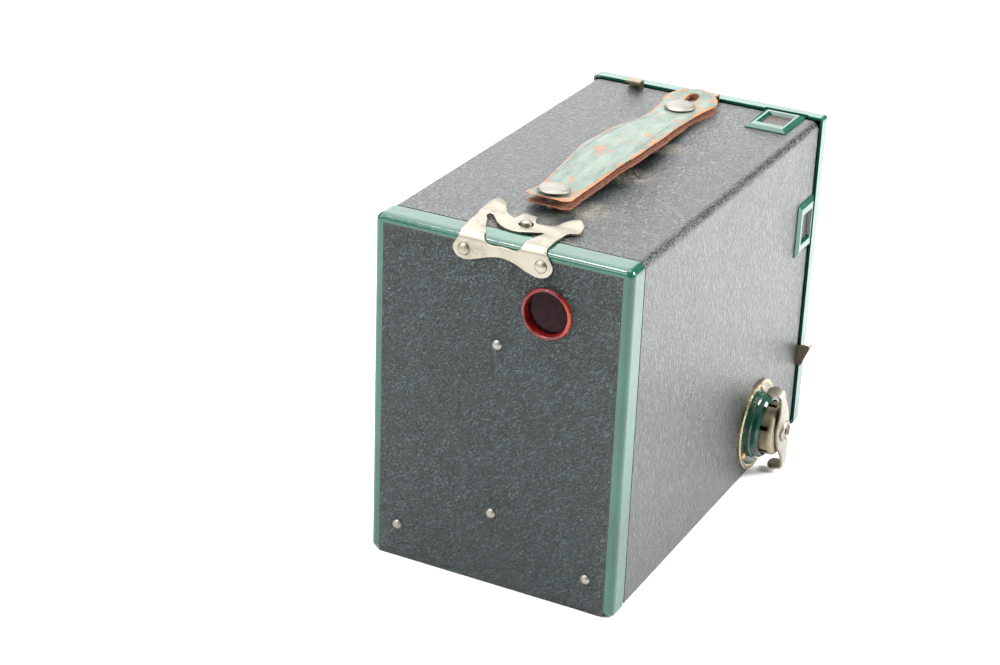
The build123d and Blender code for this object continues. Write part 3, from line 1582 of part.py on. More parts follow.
# Drum: a slotted spring cup that slides in the dome and grips by its fingers
drum_open = drum_end + key_drum_length
with BuildPart() as key_drum:
    with BuildSketch(side_on(drum_end)):
        with Locations((key_y, key_z)):
            Circle(key_drum_radius)
    extrude(amount=key_drum_length)
    fillet(key_drum.faces().sort_by(Axis.X)[0].edges(), 1.2)
    with BuildSketch(side_on(drum_open)):
        with Locations((key_y, key_z)):
            Circle(key_drum_radius - key_drum_wall)
    extrude(amount=-(key_drum_length - key_drum_wall), mode=Mode.SUBTRACT)
    with BuildSketch(side_on(drum_end)):
        with Locations((key_y, key_z)):
            Circle(key_shaft_radius + key_play)
    extrude(amount=key_drum_wall, mode=Mode.SUBTRACT)
    # Slots that part the skirt into fingers
    with BuildSketch(side_on(drum_open)):
        with Locations((key_y, key_z)):
            with PolarLocations(key_drum_radius, 6, start_angle=22):
                Rectangle(4 * key_drum_wall, 1.5)
    extrude(amount=-(key_drum_length * 0.8), mode=Mode.SUBTRACT)
keep(key_drum.part, "key_drum")

blade_end = -spool_half + 3.2
with BuildPart() as key_shaft:
    with BuildSketch(side_on(-spool_half - 0.4)):
        with Locations((key_y, key_z)):
            Circle(key_shaft_radius)
    extrude(amount=-(-spool_half - 0.4 - wing_outer))
    with BuildSketch(side_on(-spool_half - 0.4)):
        with Locations((key_y, key_z)):
            Rectangle(key_blade_thick, key_blade_width)
    extrude(amount=blade_end + spool_half + 0.4)
    # Rolled-over end that holds the wing
    with BuildSketch(side_on(wing_outer)):
        with Locations((key_y, key_z)):
            Circle(key_shaft_radius + 0.8)
    extrude(amount=-0.5)
    with BuildSketch(side_on(wing_outer - 0.5)):
        with Locations((key_y, key_z)):
            Circle(1.0)
    extrude(amount=3.0, mode=Mode.SUBTRACT)
keep(key_shaft.part, "key_shaft")

# Wing: an oval plate drawn out to two arms, whose round tips are turned back towards the body
wing_plane = Plane(
    origin=(wing_inner, key_y, key_z),
    x_dir=(0, sin(radians(key_wing_tilt)), cos(radians(key_wing_tilt))),
    z_dir=(-1, 0, 0),
)
with BuildPart() as key_wing:
    with BuildSketch(wing_plane):
        Ellipse(6.6, key_wing_width / 2)
        Rectangle(2 * key_wing_half, key_wing_tip - 1.2)
        Circle(key_shaft_radius, mode=Mode.SUBTRACT)
    extrude(amount=key_wing_sheet)
    for end in (-1, 1):
        with BuildSketch(wing_plane.offset(key_wing_sheet).rotated((0, 90, 0)).offset(end * key_wing_half)):
            with Locations((key_wing_sheet, 0)):
                Rectangle(key_wing_sheet, key_wing_tip, align=(Align.MAX, Align.CENTER))
        extrude(amount=-end * key_wing_sheet)
keep(key_wing.part, "key_wing")
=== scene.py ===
import logging
from dataclasses import dataclass
from enum import Enum
from math import cos, exp, hypot, pi, radians, sin, sqrt
from typing import Callable, Optional, Sequence, Union

import bmesh
import bpy
from mathutils import Matrix, Vector


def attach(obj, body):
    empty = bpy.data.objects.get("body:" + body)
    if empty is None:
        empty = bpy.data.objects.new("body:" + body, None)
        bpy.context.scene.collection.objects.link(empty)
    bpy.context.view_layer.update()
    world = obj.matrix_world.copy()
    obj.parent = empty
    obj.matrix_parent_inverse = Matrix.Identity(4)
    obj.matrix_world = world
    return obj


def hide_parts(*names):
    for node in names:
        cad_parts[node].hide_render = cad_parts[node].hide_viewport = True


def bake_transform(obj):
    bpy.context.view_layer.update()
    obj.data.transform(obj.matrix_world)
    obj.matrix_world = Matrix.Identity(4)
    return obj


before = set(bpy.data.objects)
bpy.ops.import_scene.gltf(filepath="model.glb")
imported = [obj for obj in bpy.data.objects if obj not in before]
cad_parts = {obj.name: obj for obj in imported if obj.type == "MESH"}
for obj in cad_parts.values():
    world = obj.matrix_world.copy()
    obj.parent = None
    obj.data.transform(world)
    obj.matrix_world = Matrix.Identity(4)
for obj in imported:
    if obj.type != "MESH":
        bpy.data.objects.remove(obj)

LOG = logging.getLogger("box_camera")
MM = 0.001
Colour = tuple[float, float, float]
Point = tuple[float, float]
Value = Union["Sock", float]


# ---------------------------------------------------------------- shader expressions
class Sock:
    """A shader value that Python arithmetic can be done on."""

    def __init__(self, shader: "Shader", out: bpy.types.NodeSocket) -> None:
        """Wrap one output socket of a shader's node."""
        self.shader = shader
        self.out = out

    def __add__(self, other: Value) -> "Sock":
        """Add a value to this one."""
        return self.shader.math("ADD", self, other)

    __radd__ = __add__

    def __mul__(self, other: Value) -> "Sock":
        """Multiply this value by another."""
        return self.shader.math("MULTIPLY", self, other)

    __rmul__ = __mul__

    def __sub__(self, other: Value) -> "Sock":
        """Take a value from this one."""
        return self.shader.math("SUBTRACT", self, other)

    def __rsub__(self, other: Value) -> "Sock":
        """Take this value from a number."""
        return self.shader.math("SUBTRACT", other, self)

    def __abs__(self) -> "Sock":
        """The value without its sign."""
        return self.shader.math("ABSOLUTE", self, 0.0)

    def least(self, other: Value) -> "Sock":
        """The smaller of this value and another."""
        return self.shader.math("MINIMUM", self, other)

    def most(self, other: Value) -> "Sock":
        """The larger of this value and another."""
        return self.shader.math("MAXIMUM", self, other)

    def step(self, low: float, high: float, start: float = 0.0, end: float = 1.0) -> "Sock":
        """A smooth rise from one value to another.

        Args:
            low: where the rise starts.
            high: where it ends, which may be below low for a fall.
            start: the value at low.
            end: the value at high.

        Returns:
            The eased value.
        """
        made = self.shader.node(
            "ShaderNodeMapRange",
            {"Value": self, "From Min": low, "From Max": high, "To Min": start, "To Max": end},
            interpolation_type="SMOOTHSTEP",
        )
        return Sock(self.shader, made.outputs[0])


class Shader:
    """A material whose nodes are written as Python expressions."""

    def __init__(self, name: str) -> None:
        """Make an empty material with one Principled surface."""
        self.material = bpy.data.materials.new(name)
        self.material.use_nodes = True
        self.tree = self.material.node_tree
        self.surface = self.tree.nodes["Principled BSDF"]
        self.place = Sock(self, self.node("ShaderNodeTexCoord").outputs["Object"])

    def node(self, kind: str, values: Optional[dict] = None, **settings: object) -> bpy.types.Node:
        """Make any node.

        Args:
            kind: the node's type.
            values: numbers or links for its sockets, by name or number.
            settings: its own settings, which are set first.

        Returns:
            The node.
        """
        made = self.tree.nodes.new(kind)
        for key, value in settings.items():
            setattr(made, key, value)
        for key, value in (values or {}).items():
            self.feed(made.inputs[key], value)
        return made

    def feed(self, socket: bpy.types.NodeSocket, value: object) -> None:
        """Link a value to a socket, or set the number on it.

        Args:
            socket: the socket.
            value: a shader value, a number, or a colour without its alpha.
        """
        if isinstance(value, Sock):
            self.tree.links.new(value.out, socket)
        elif isinstance(value, tuple) and len(value) == 3 and socket.type == "RGBA":
            socket.default_value = (*value, 1.0)
        else:
            socket.default_value = value

    def math(self, operation: str, a: Value, b: Value) -> Sock:
        """One Math node."""
        return Sock(self, self.node("ShaderNodeMath", {0: a, 1: b}, operation=operation).outputs[0])

    def mix(self, mask: Value, a: object, b: object) -> Sock:
        """Two colours mixed by a mask, the first where the mask is 0."""
        made = self.node("ShaderNodeMix", {0: mask, 6: a, 7: b}, data_type="RGBA")
        return Sock(self, made.outputs[2])

    def axis(self, number: int) -> Sock:
        """The object's own X, Y or Z, in metres."""
        return Sock(self, self.node("ShaderNodeSeparateXYZ", {0: self.place}).outputs[number])

    def stretched(self, scale: Colour, turn: Colour = (0.0, 0.0, 0.0)) -> Sock:
        """Object coordinates turned, then scaled along each axis.

        Args:
            scale: the scale along each axis.
            turn: the turn about each axis, in radians.

        Returns:
            The new coordinates.
        """
        turned = Sock(self, self.node("ShaderNodeMapping", {"Vector": self.place, "Rotation": turn}).outputs[0])
        made = self.node("ShaderNodeMapping", {"Vector": turned, "Scale": scale})
        return Sock(self, made.outputs[0])

    def noise(self, scale: float, detail: float = 2.0, rough: float = 0.5, bend: float = 0.0,
              at: Optional[Sock] = None) -> Sock:
        """Soft noise between 0 and 1.

        Args:
            scale: cells per metre, or 1 where the coordinates are already scaled.
            detail: how many finer layers are added.
            rough: how strong they are.
            bend: how far it is distorted.
            at: the coordinates, or the object's own.

        Returns:
            The noise value.
        """
        sockets = {"Vector": at or self.place, "Scale": scale, "Detail": detail, "Roughness": rough,
                   "Distortion": bend}
        return Sock(self, self.node("ShaderNodeTexNoise", sockets).outputs[0])

    def cells(self, scale: float, at: Optional[Sock] = None) -> Sock:
        """Distance to the nearest of many scattered points, in cells."""
        made = self.node("ShaderNodeTexVoronoi", {"Vector": at or self.place, "Scale": scale})
        return Sock(self, made.outputs["Distance"])

    def carried(self, name: str) -> Sock:
        """A number stored on the piece's own points."""
        return Sock(self, self.node("ShaderNodeAttribute", attribute_name=name).outputs["Fac"])

    def bump(self, height: Value, depth: float, strength: float = 1.0) -> Sock:
        """A surface relief, with its depth in metres."""
        made = self.node("ShaderNodeBump", {"Height": height, "Distance": depth, "Strength": strength})
        return Sock(self, made.outputs[0])

    def finish(self, **sockets: object) -> bpy.types.Material:
        """Set the surface's sockets.

        Args:
            sockets: a value for each, named with underscores for spaces.

        Returns:
            The finished material.
        """
        for key, value in sockets.items():
            self.feed(self.surface.inputs[key.replace("_", " ")], value)
        return self.material


# ---------------------------------------------------------------- finishes
class Run(Enum):
    """Which way a leatherette's wrinkles run."""

    ACROSS = "across"
    ALONG = "along"


@dataclass(frozen=True)
class Leatherette:
    """Grained black cloth-backed covering, with a tan cut edge where it has one; its colour holds painted shade in
    the creases, a painted highlight on the raised grain and, where set, a painted shaded band along the top
    shoulders.
    """

    name: str
    run: Run
    grain: float = 820.0
    # low is the colour of the creases and high of the raised grain: the darker creases are painted shade and the
    # paler raised grain a painted highlight.
    low: Colour = (0.0012, 0.0022, 0.0024)
    high: Colour = (0.0065, 0.0135, 0.0135)
    lint_colour: Colour = (0.13, 0.14, 0.13)
    backing: Colour = (0.15, 0.10, 0.045)
    dusty: Colour = (0.120, 0.105, 0.080)
    edge_x: float = 0.0
    edge_z: float = 0.0
    ends: Point = (0.0, 0.0)
    dust_spots: tuple[tuple[float, float, float], ...] = ()
    # Where the top shoulders start (|x| + z, in metres) to get a painted shaded band in the colour and a smoother
    # finish; 0 for none.
    shoulder_shade_and_polish_at: float = 0.0
    gloss: float = 0.26
    relief: float = 0.00020
    shine: float = 0.6

    def material(self) -> bpy.types.Material:
        """Build the finish.

        Returns:
            The material.
        """
        sh = Shader(self.name)
        if self.run is Run.ACROSS:
            at = sh.stretched((0.46 * self.grain, self.grain, self.grain), (0.0, radians(-42), 0.0))
        else:
            at = sh.stretched((self.grain, self.grain, 0.5 * self.grain), (radians(8), radians(6), radians(14)))
        swirl = sh.noise(1.0, 2.0, 0.55, 0.9, at)
        groove = abs(swirl - 0.5).step(0.0, 0.10)
        soft = sh.noise(1.7, 1.0, 0.5, 0.3, at)
        broad = sh.noise(42.0, 3.0, 0.6)
        fine = sh.noise(4200.0, 2.0, 0.6)
        height = groove * 0.55 + soft * 0.9 + fine * 0.06
        # Painted shade in the creases and a painted highlight on the raised grain, mixed with random tone from the
        # broad noise.
        painted_shade_and_tone = (groove * 0.50 + soft * 0.45 + broad * 0.25).step(0.38, 0.98)
        colour = sh.mix(painted_shade_and_tone, self.low, self.high)
        lint = (sh.noise(1300.0, 4.0, 0.75) + broad * 0.12).step(0.775, 0.80)
        colour = sh.mix(lint * 0.5, colour, self.lint_colour)
        dull = lint * 0.3
        for x, y, reach in self.dust_spots:
            away = (sh.axis(0) - x, sh.axis(1) - y)
            near = sh.math("SQRT", away[0] * away[0] + away[1] * away[1] * 1.8, 0.0)
            top = sh.axis(2).step(100.5 * MM, 101.6 * MM)
            grit = (sh.noise(1900.0, 3.0, 0.8) + sh.noise(170.0, 3.0, 0.6) * 0.5).step(0.66, 0.86)
            patch = near.step(reach, 0.2 * reach) * top * grit
            colour = sh.mix(patch * 0.95, colour, self.dusty)
            dull = dull + patch * 0.45
        rubbed: Value = 0.0
        if self.shoulder_shade_and_polish_at:
            # Painted shade: the shoulders past this line are coloured darker than the creases, as a shaded band, and
            # are made smoother.
            over = (abs(sh.axis(0)) + sh.axis(2)).step(self.shoulder_shade_and_polish_at, self.shoulder_shade_and_polish_at + 1.0 * MM)
            rubbed = over * 0.8
            colour = sh.mix(over, colour, tuple(0.3 * c for c in self.low))
            scuff = abs(abs(sh.axis(0)) + sh.axis(2) - self.shoulder_shade_and_polish_at - 0.15 * MM).step(0.16 * MM, 0.0)
            scuff = scuff * sh.noise(520.0, 4.0, 0.7).step(0.50, 0.62)
            colour = sh.mix(scuff * 0.6, colour, self.dusty)
        if self.edge_x:
            near = (abs(sh.axis(0)) - self.edge_x).most(sh.axis(2) - self.edge_z)
            fray = near + (sh.noise(1500.0, 3.0, 0.7) - 0.5) * (0.30 * MM)
            colour = sh.mix(fray.step(-0.10 * MM, 0.02 * MM, 0.0, 0.85), colour, self.backing)
        if self.ends[1]:
            near = (sh.axis(1) - self.ends[1]).most(self.ends[0] - sh.axis(1))
            fray = near + (sh.noise(900.0, 4.0, 0.8) - 0.62) * (1.6 * MM)
            colour = sh.mix(fray.step(-0.20 * MM, 0.0, 0.0, 0.8), colour, self.backing)
        return sh.finish(
            Base_Color=colour,
            Roughness=(fine * 0.10 - groove * 0.10 + broad * 0.12 + dull).step(
                -0.1, 0.55, self.gloss, self.gloss + 0.38) - rubbed * 0.2,
            Normal=sh.bump(height, self.relief),
            Specular_IOR_Level=self.shine,
        )


@dataclass(frozen=True)
class Lacquer:
    """Glossy stove enamel, chipped to metal here and there."""

    name: str
    colour: Colour = (0.006, 0.068, 0.043)
    deep: Colour = (0.004, 0.046, 0.030)
    bare: Colour = (0.26, 0.23, 0.15)
    chips: float = 0.30
    inside: tuple[float, float, float] = (0.0, 0.0, 0.0)
    inside_black: Colour = (0.005, 0.005, 0.0055)

    def material(self) -> bpy.types.Material:
        """Build the finish.

        Returns:
            The material.
        """
        sh = Shader(self.name)
        broad = sh.noise(60.0, 3.0, 0.6)
        colour = sh.mix(broad.step(0.3, 0.7), self.deep, self.colour)
        specks = sh.noise(520.0, 5.0, 0.72).step(0.73, 0.76) * self.chips
        colour = sh.mix(specks, colour, self.bare)
        film = sh.noise(330.0, 2.0, 0.5) + sh.noise(2600.0, 2.0, 0.6) * 0.12
        black: Value = 0.0
        if self.inside[1]:
            half, face, top = self.inside
            black = (abs(sh.axis(0)).step(half + 0.05 * MM, half) * sh.axis(1).step(face + 0.05 * MM, face)
                     * sh.axis(2).step(top + 0.05 * MM, top))
            colour = sh.mix(black, colour, self.inside_black)
        return sh.finish(
            Base_Color=colour,
            Roughness=(specks + broad * 0.5 + black).step(0.1, 1.2, 0.08, 0.45),
            Normal=sh.bump(film, 0.00012, 0.5),
        )


@dataclass(frozen=True)
class KeyPlateLacquer:
    """The key plate's enamel, worn through to brass on its rolled rim."""

    name: str
    middle: Point = (-33.5 * MM, 15.2 * MM)
    rim: float = 12.6 * MM
    deep: Colour = (0.002, 0.030, 0.018)
    colour: Colour = (0.004, 0.048, 0.029)
    dusty: Colour = (0.12, 0.135, 0.10)
    dull_brass: Colour = (0.24, 0.20, 0.11)
    clean_brass: Colour = (0.34, 0.29, 0.17)

    def material(self) -> bpy.types.Material:
        """Build the finish.

        Returns:
            The material.
        """
        sh = Shader(self.name)
        y = sh.axis(1) - self.middle[0]
        z = sh.axis(2) - self.middle[1]
        reach = sh.math("SQRT", y * y + z * z, 0.0)
        worn = sh.noise(700.0, 4.0, 0.7)
        brass = (reach + (worn - 0.5) * (0.12 * MM)).step(self.rim - 0.15 * MM, self.rim + 0.05 * MM)
        dust = sh.noise(420.0, 4.0, 0.7).step(0.45, 0.75) * reach.step(10.0 * MM, 10.6 * MM) * 0.6
        green = sh.mix(sh.noise(160.0, 3.0).step(0.3, 0.7), self.deep, self.colour)
        green = sh.mix(dust, green, self.dusty)
        yellow = sh.mix(worn.step(0.35, 0.7), self.dull_brass, self.clean_brass)
        return sh.finish(
            Base_Color=sh.mix(brass, green, yellow),
            Metallic=brass * 0.9,
            Roughness=(dust + brass * 0.25).step(0.0, 0.8, 0.12, 0.50),
            Normal=sh.bump(sh.noise(900.0, 3.0), 0.00008, 0.5),
        )


@dataclass(frozen=True)
class Metal:
    """Plated, polished or bare metal with tarnish and fine scratches."""

    name: str
    colour: Colour = (0.265, 0.243, 0.198)
    tarnish: Colour = (0.120, 0.086, 0.046)
    rough: float = 0.26
    spots: float = 0.55
    metallic: float = 1.0

    def material(self) -> bpy.types.Material:
        """Build the finish.

        Returns:
            The material.
        """
        sh = Shader(self.name)
        broad = sh.noise(150.0, 4.0, 0.65)
        pits = sh.noise(1500.0, 4.0, 0.75)
        scratch = sh.noise(1.0, 2.0, 0.6, 0.0, sh.stretched((260.0, 5200.0, 2600.0), (0.5, 0.3, 0.7)))
        blots = sh.noise(420.0, 5.0, 0.75, 0.4)
        stain = ((broad * 0.75 + pits * 0.45).step(0.60, 0.80) * 0.7 + blots.step(0.56, 0.70) * 0.5) * self.spots
        colour = sh.mix(broad.step(0.3, 0.75) * 0.35, self.colour, tuple(0.72 * c for c in self.colour))
        return sh.finish(
            Base_Color=sh.mix(stain, colour, self.tarnish),
            Metallic=self.metallic,
            Roughness=(broad * 0.4 + stain * 0.6 + scratch * 0.3).step(0.0, 1.0, self.rough, self.rough + 0.42),
            Normal=sh.bump(pits * 0.5 + scratch * 0.6, 0.00006, 0.6),
        )


@dataclass(frozen=True)
class StrapLeather:
    """Grey-green paint worn off tan leather, with rough red-brown cut edges."""

    name: str
    paint: Colour = (0.060, 0.094, 0.076)
    pale: Colour = (0.118, 0.150, 0.120)
    tan: Colour = (0.25, 0.100, 0.040)
    cut: Colour = (0.130, 0.038, 0.016)
    fibre: Colour = (0.22, 0.095, 0.052)
    dust: Colour = (0.24, 0.21, 0.19)

    def material(self) -> bpy.types.Material:
        """Build the finish.

        Returns:
            The material.
        """
        sh = Shader(self.name)
        inset = sh.carried("inset")
        flank = sh.carried("flank")
        along = sh.axis(1)
        patch = sh.noise(190.0, 5.0, 0.68, 0.5)
        fine = sh.noise(2400.0, 4.0, 0.7)
        ends = along.step(18.0 * MM, 33.0 * MM).most(along.step(-36.0 * MM, -50.0 * MM))
        rub = inset.step(1.1 * MM, 0.0, 0.0, 0.17) + ends * 0.085 + fine * 0.13
        worn = (patch + rub).step(0.665, 0.70)
        film = sh.noise(1.0, 4.0, 0.6, 0.4, sh.stretched((420.0, 110.0, 300.0)))
        paint = sh.mix(film.step(0.35, 0.7), self.paint, self.pale)
        hide = sh.mix(fine.step(0.3, 0.7), self.tan, tuple(1.25 * c for c in self.tan))
        colour = sh.mix(worn, paint, hide)
        fibres = sh.noise(1.0, 4.0, 0.7, 0.6, sh.stretched((1100.0, 700.0, 1500.0)))
        raw = sh.mix(fibres.step(0.35, 0.7), self.cut, self.fibre)
        raw = sh.mix(sh.noise(800.0, 4.0, 0.7).step(0.62, 0.72) * 0.5, raw, self.dust)
        colour = sh.mix(flank.step(0.25, 0.7), colour, raw)
        lines = abs(abs(inset - 1.75 * MM) - 0.42 * MM).step(0.0, 0.20 * MM)
        middle = along.step(26.0 * MM, 22.0 * MM) * along.step(-38.0 * MM, -34.0 * MM)
        pores = sh.cells(2600.0)
        height = lines * middle * 0.9 + pores * 0.16 + worn * -0.35 + fine * 0.3 + fibres * flank * 1.2
        return sh.finish(
            Base_Color=colour,
            Roughness=(worn * 0.4 + flank + fine * 0.3).step(0.0, 1.2, 0.40, 0.85),
            Normal=sh.bump(height, 0.00028),
            Specular_IOR_Level=0.45,
        )


@dataclass(frozen=True)
class Celluloid:
    """Red celluloid or gelatine, dark maroon to red, with a painted orange highlight on one side where it is set."""

    name: str
    colour: Colour
    dark: Colour
    rough: float = 0.08
    highlight_side: float = 0.0
    highlight_colour: Colour = (0.27, 0.022, 0.002)
    gloss: float = 0.35

    def material(self) -> bpy.types.Material:
        """Build the finish.

        Returns:
            The material.
        """
        sh = Shader(self.name)
        haze = sh.noise(480.0, 3.0, 0.6)
        colour = sh.mix(haze.step(0.3, 0.75), self.dark, self.colour)
        # Painted highlight: the ring is coloured orange on its -X side, where the light falls on it.
        if self.highlight_side:
            painted_highlight = sh.axis(0).step(self.highlight_side + 2.2 * MM, self.highlight_side - 1.0 * MM)
            colour = sh.mix(painted_highlight, colour, self.highlight_colour)
        return sh.finish(
            Base_Color=colour,
            Roughness=haze.step(0.2, 0.8, self.rough, self.rough + 0.10),
            Specular_IOR_Level=self.gloss,
            Normal=sh.bump(sh.noise(260.0, 2.0), 0.00022, 0.5),
        )


@dataclass(frozen=True)
class ClearGlass:
    """Thin glass that shows what is behind it, lightly dusty or ground."""

    name: str
    haze: float = 0.12
    tint: Colour = (0.36, 0.39, 0.38)
    dusty: Colour = (0.28, 0.28, 0.25)
    gloss: float = 0.5

    def material(self) -> bpy.types.Material:
        """Build the finish.

        Returns:
            The material.
        """
        sh = Shader(self.name)
        dust = sh.noise(700.0, 4.0, 0.7)
        return sh.finish(
            Base_Color=sh.mix(dust.step(0.3, 0.7), self.tint, self.dusty),
            Roughness=dust.step(0.2, 0.8, 0.03 + self.haze * 0.3, 0.12 + self.haze),
            Alpha=dust.step(0.2, 0.8, 0.22 + self.haze, 0.34 + self.haze),
            Specular_IOR_Level=self.gloss,
        )


@dataclass(frozen=True)
class Wood:
    """Plain turned wood."""

    name: str
    dark: Colour = (0.20, 0.12, 0.052)
    pale: Colour = (0.30, 0.20, 0.105)

    def material(self) -> bpy.types.Material:
        """Build the finish.

        Returns:
            The material.
        """
        sh = Shader(self.name)
        rings = sh.noise(1.0, 4.0, 0.6, 0.5, sh.stretched((60.0, 900.0, 900.0)))
        return sh.finish(
            Base_Color=sh.mix(rings.step(0.3, 0.7), self.dark, self.pale),
            Roughness=rings.step(0.2, 0.8, 0.45, 0.62),
            Normal=sh.bump(rings, 0.00008),
        )


class Finishes:
    """Every finish of the camera, each built once."""

    def __init__(self) -> None:
        """Build them all."""
        self.body = Leatherette(
            "leatherette_body", Run.ALONG, ends=(-65.5 * MM, 58.9 * MM), shoulder_shade_and_polish_at=137.2 * MM, relief=0.00015,
            dust_spots=((-0.8 * MM, 56.0 * MM, 20.0 * MM), (-9.0 * MM, 36.0 * MM, 13.0 * MM),
                        (-9.0 * MM, 6.0 * MM, 12.0 * MM), (-8.0 * MM, -20.0 * MM, 10.0 * MM)),
        ).material()
        # The back's wide gap between its dark crease colour and pale ridge colour is painted shade and painted
        # highlight on the grain.
        self.back = Leatherette(
            "leatherette_back", Run.ACROSS, edge_x=34.8 * MM, edge_z=99.7 * MM, relief=0.00085, grain=1350.0,
            low=(0.0003, 0.0014, 0.0014), high=(0.018, 0.034, 0.034), shine=0.44,
        ).material()
        self.front = Leatherette("leatherette_front", Run.ACROSS).material()
        self.green = Lacquer("green_lacquer").material()
        self.back_green = Lacquer("back_lacquer", inside=(36.92 * MM, 66.12 * MM, 101.42 * MM)).material()
        self.key_green = KeyPlateLacquer("key_plate_lacquer").material()
        self.nickel = Metal("worn_nickel").material()
        self.bright = Metal("bright_nickel", colour=(0.225, 0.214, 0.190), spots=0.35, rough=0.32).material()
        self.dull = Metal("dull_brassy_nickel", colour=(0.23, 0.20, 0.135), spots=0.7, rough=0.36).material()
        self.aluminium = Metal("aluminium", colour=(0.22, 0.22, 0.215), spots=0.1, rough=0.38).material()
        self.steel = Metal("spring_steel", colour=(0.28, 0.28, 0.27), spots=0.4, rough=0.32).material()
        self.copper = Metal("copper_rivet", colour=(0.52, 0.29, 0.17), spots=0.3, rough=0.30).material()
        self.black = Metal("black_paint", colour=(0.007, 0.007, 0.0075), tarnish=(0.02, 0.018, 0.016), spots=0.5,
                           rough=0.48, metallic=0.0).material()
        self.strap = StrapLeather("strap_leather").material()
        # The red ring gets a painted orange highlight on its -X side.
        self.red_ring = Celluloid("red_ring", (0.150, 0.006, 0.005), (0.065, 0.003, 0.003),
                                  highlight_side=-20.2 * MM).material()
        self.red_pane = Celluloid("red_pane", (0.016, 0.003, 0.004), (0.005, 0.001, 0.0015), 0.03,
                                  gloss=0.06).material()
        self.glass = ClearGlass("lens_glass", 0.0).material()
        self.ground = ClearGlass("finder_glass", 0.30, (0.040, 0.035, 0.030), dusty=(0.075, 0.066, 0.056),
                                 gloss=0.25).material()
        self.mirror = Metal("mirror", colour=(0.55, 0.56, 0.56), spots=0.05, rough=0.02).material()
        self.wood = Wood("spool_wood").material()


# ---------------------------------------------------------------- mesh helpers
def new_piece(name: str, bm: bmesh.types.BMesh, material: bpy.types.Material,
              crease: float = 38.0) -> bpy.types.Object:
    """Turn a finished bmesh into a smooth-shaded piece.

    Args:
        name: the piece's name.
        bm: its shape, in metres and in the camera's frame. It is freed.
        material: its finish.
        crease: the angle above which an edge stays sharp, in degrees.

    Returns:
        The new object.
    """
    mesh = bpy.data.meshes.new(name)
    bm.to_mesh(mesh)
    bm.free()
    mesh.materials.append(material)
    mesh.shade_smooth()
    mesh.set_sharp_from_angle(angle=radians(crease))
    piece = bpy.data.objects.new(name, mesh)
    bpy.context.scene.collection.objects.link(piece)
    return piece


def towards(direction: Vector, at: Vector) -> Matrix:
    """The transform that stands a shape made along +Z on a point, along a direction."""
    return Matrix.Translation(at) @ direction.to_track_quat("Z", "Y").to_matrix().to_4x4()


def turned(bm: bmesh.types.BMesh, profile: Sequence[Point], stand: Matrix, steps: int = 64) -> None:
    """Add a lathe-turned shape to a bmesh.

    Args:
        bm: the bmesh to add to.
        profile: radius and height pairs in millimetres, as one closed or axis-to-axis line.
        stand: where the turned axis goes.
        steps: how many facets go round.
    """
    verts = [bm.verts.new((r * MM, 0.0, h * MM)) for r, h in profile]
    edges = [bm.edges.new(pair) for pair in zip(verts, verts[1:])]
    if profile[0][0] > 0:
        edges.append(bm.edges.new((verts[-1], verts[0])))
    bmesh.ops.spin(
        bm, geom=verts + edges, cent=(0, 0, 0), axis=(0, 0, 1), dvec=(0, 0, 0), angle=2 * pi, steps=steps,
        use_merge=True, use_duplicate=False,
    )
    fresh = [v for v in bm.verts if not v.tag]
    bmesh.ops.remove_doubles(bm, verts=fresh, dist=1e-7)
    fresh = [v for v in bm.verts if not v.tag]
    bmesh.ops.recalc_face_normals(bm, faces=[f for f in bm.faces if not f.tag])
    bmesh.ops.transform(bm, matrix=stand, verts=fresh)
    for part in (*bm.verts, *bm.faces):
        part.tag = True


def stamped(outlines: Sequence[Sequence[Point]], thick: float, edge: float, cuts: Sequence[tuple[Point, Point]],
            form: Callable[[float, float, float], Vector], smooth: bool = True) -> bmesh.types.BMesh:
    """A sheet stamped flat and then formed.

    Args:
        outlines: the outer outline and any holes, flat, in millimetres.
        thick: the sheet's thickness in millimetres.
        edge: how far its edges are rounded, in millimetres.
        cuts: points and directions, in the flat, of lines that the forming needs edges on.
        form: turns a flat point (x, y, height above mid-sheet), in millimetres, into its place in metres.
        smooth: whether the outlines are smooth curves through their points.

    Returns:
        The formed sheet.
    """
    curve = bpy.data.curves.new("outline", "CURVE")
    curve.dimensions = "2D"
    curve.fill_mode = "BOTH"
    curve.extrude = thick / 2 - edge
    curve.bevel_depth = edge
    curve.bevel_resolution = 2
    curve.offset = -edge
    curve.resolution_u = 7
    for points in outlines:
        spline = curve.splines.new("BEZIER")
        spline.bezier_points.add(len(points) - 1)
        spline.use_cyclic_u = True
        for knot, (x, y) in zip(spline.bezier_points, points):
            knot.co = (x, y, 0.0)
            knot.handle_left_type = knot.handle_right_type = "AUTO" if smooth else "VECTOR"
    flat = bpy.data.objects.new("outline", curve)
    bpy.context.scene.collection.objects.link(flat)
    bpy.context.view_layer.update()
    mesh = bpy.data.meshes.new_from_object(flat)
    bm = bmesh.new()
    bm.from_mesh(mesh)
    bpy.data.objects.remove(flat)
    bpy.data.meshes.remove(mesh)
    bmesh.ops.remove_doubles(bm, verts=bm.verts[:], dist=1e-4)
    for (x, y), (nx, ny) in cuts:
        geom = bm.verts[:] + bm.edges[:] + bm.faces[:]
        bmesh.ops.bisect_plane(bm, geom=geom, dist=1e-5, plane_co=(x, y, 0.0), plane_no=(nx, ny, 0.0))
    bmesh.ops.recalc_face_normals(bm, faces=bm.faces[:])
    for vert in bm.verts:
        vert.co = form(*vert.co)
    return bm


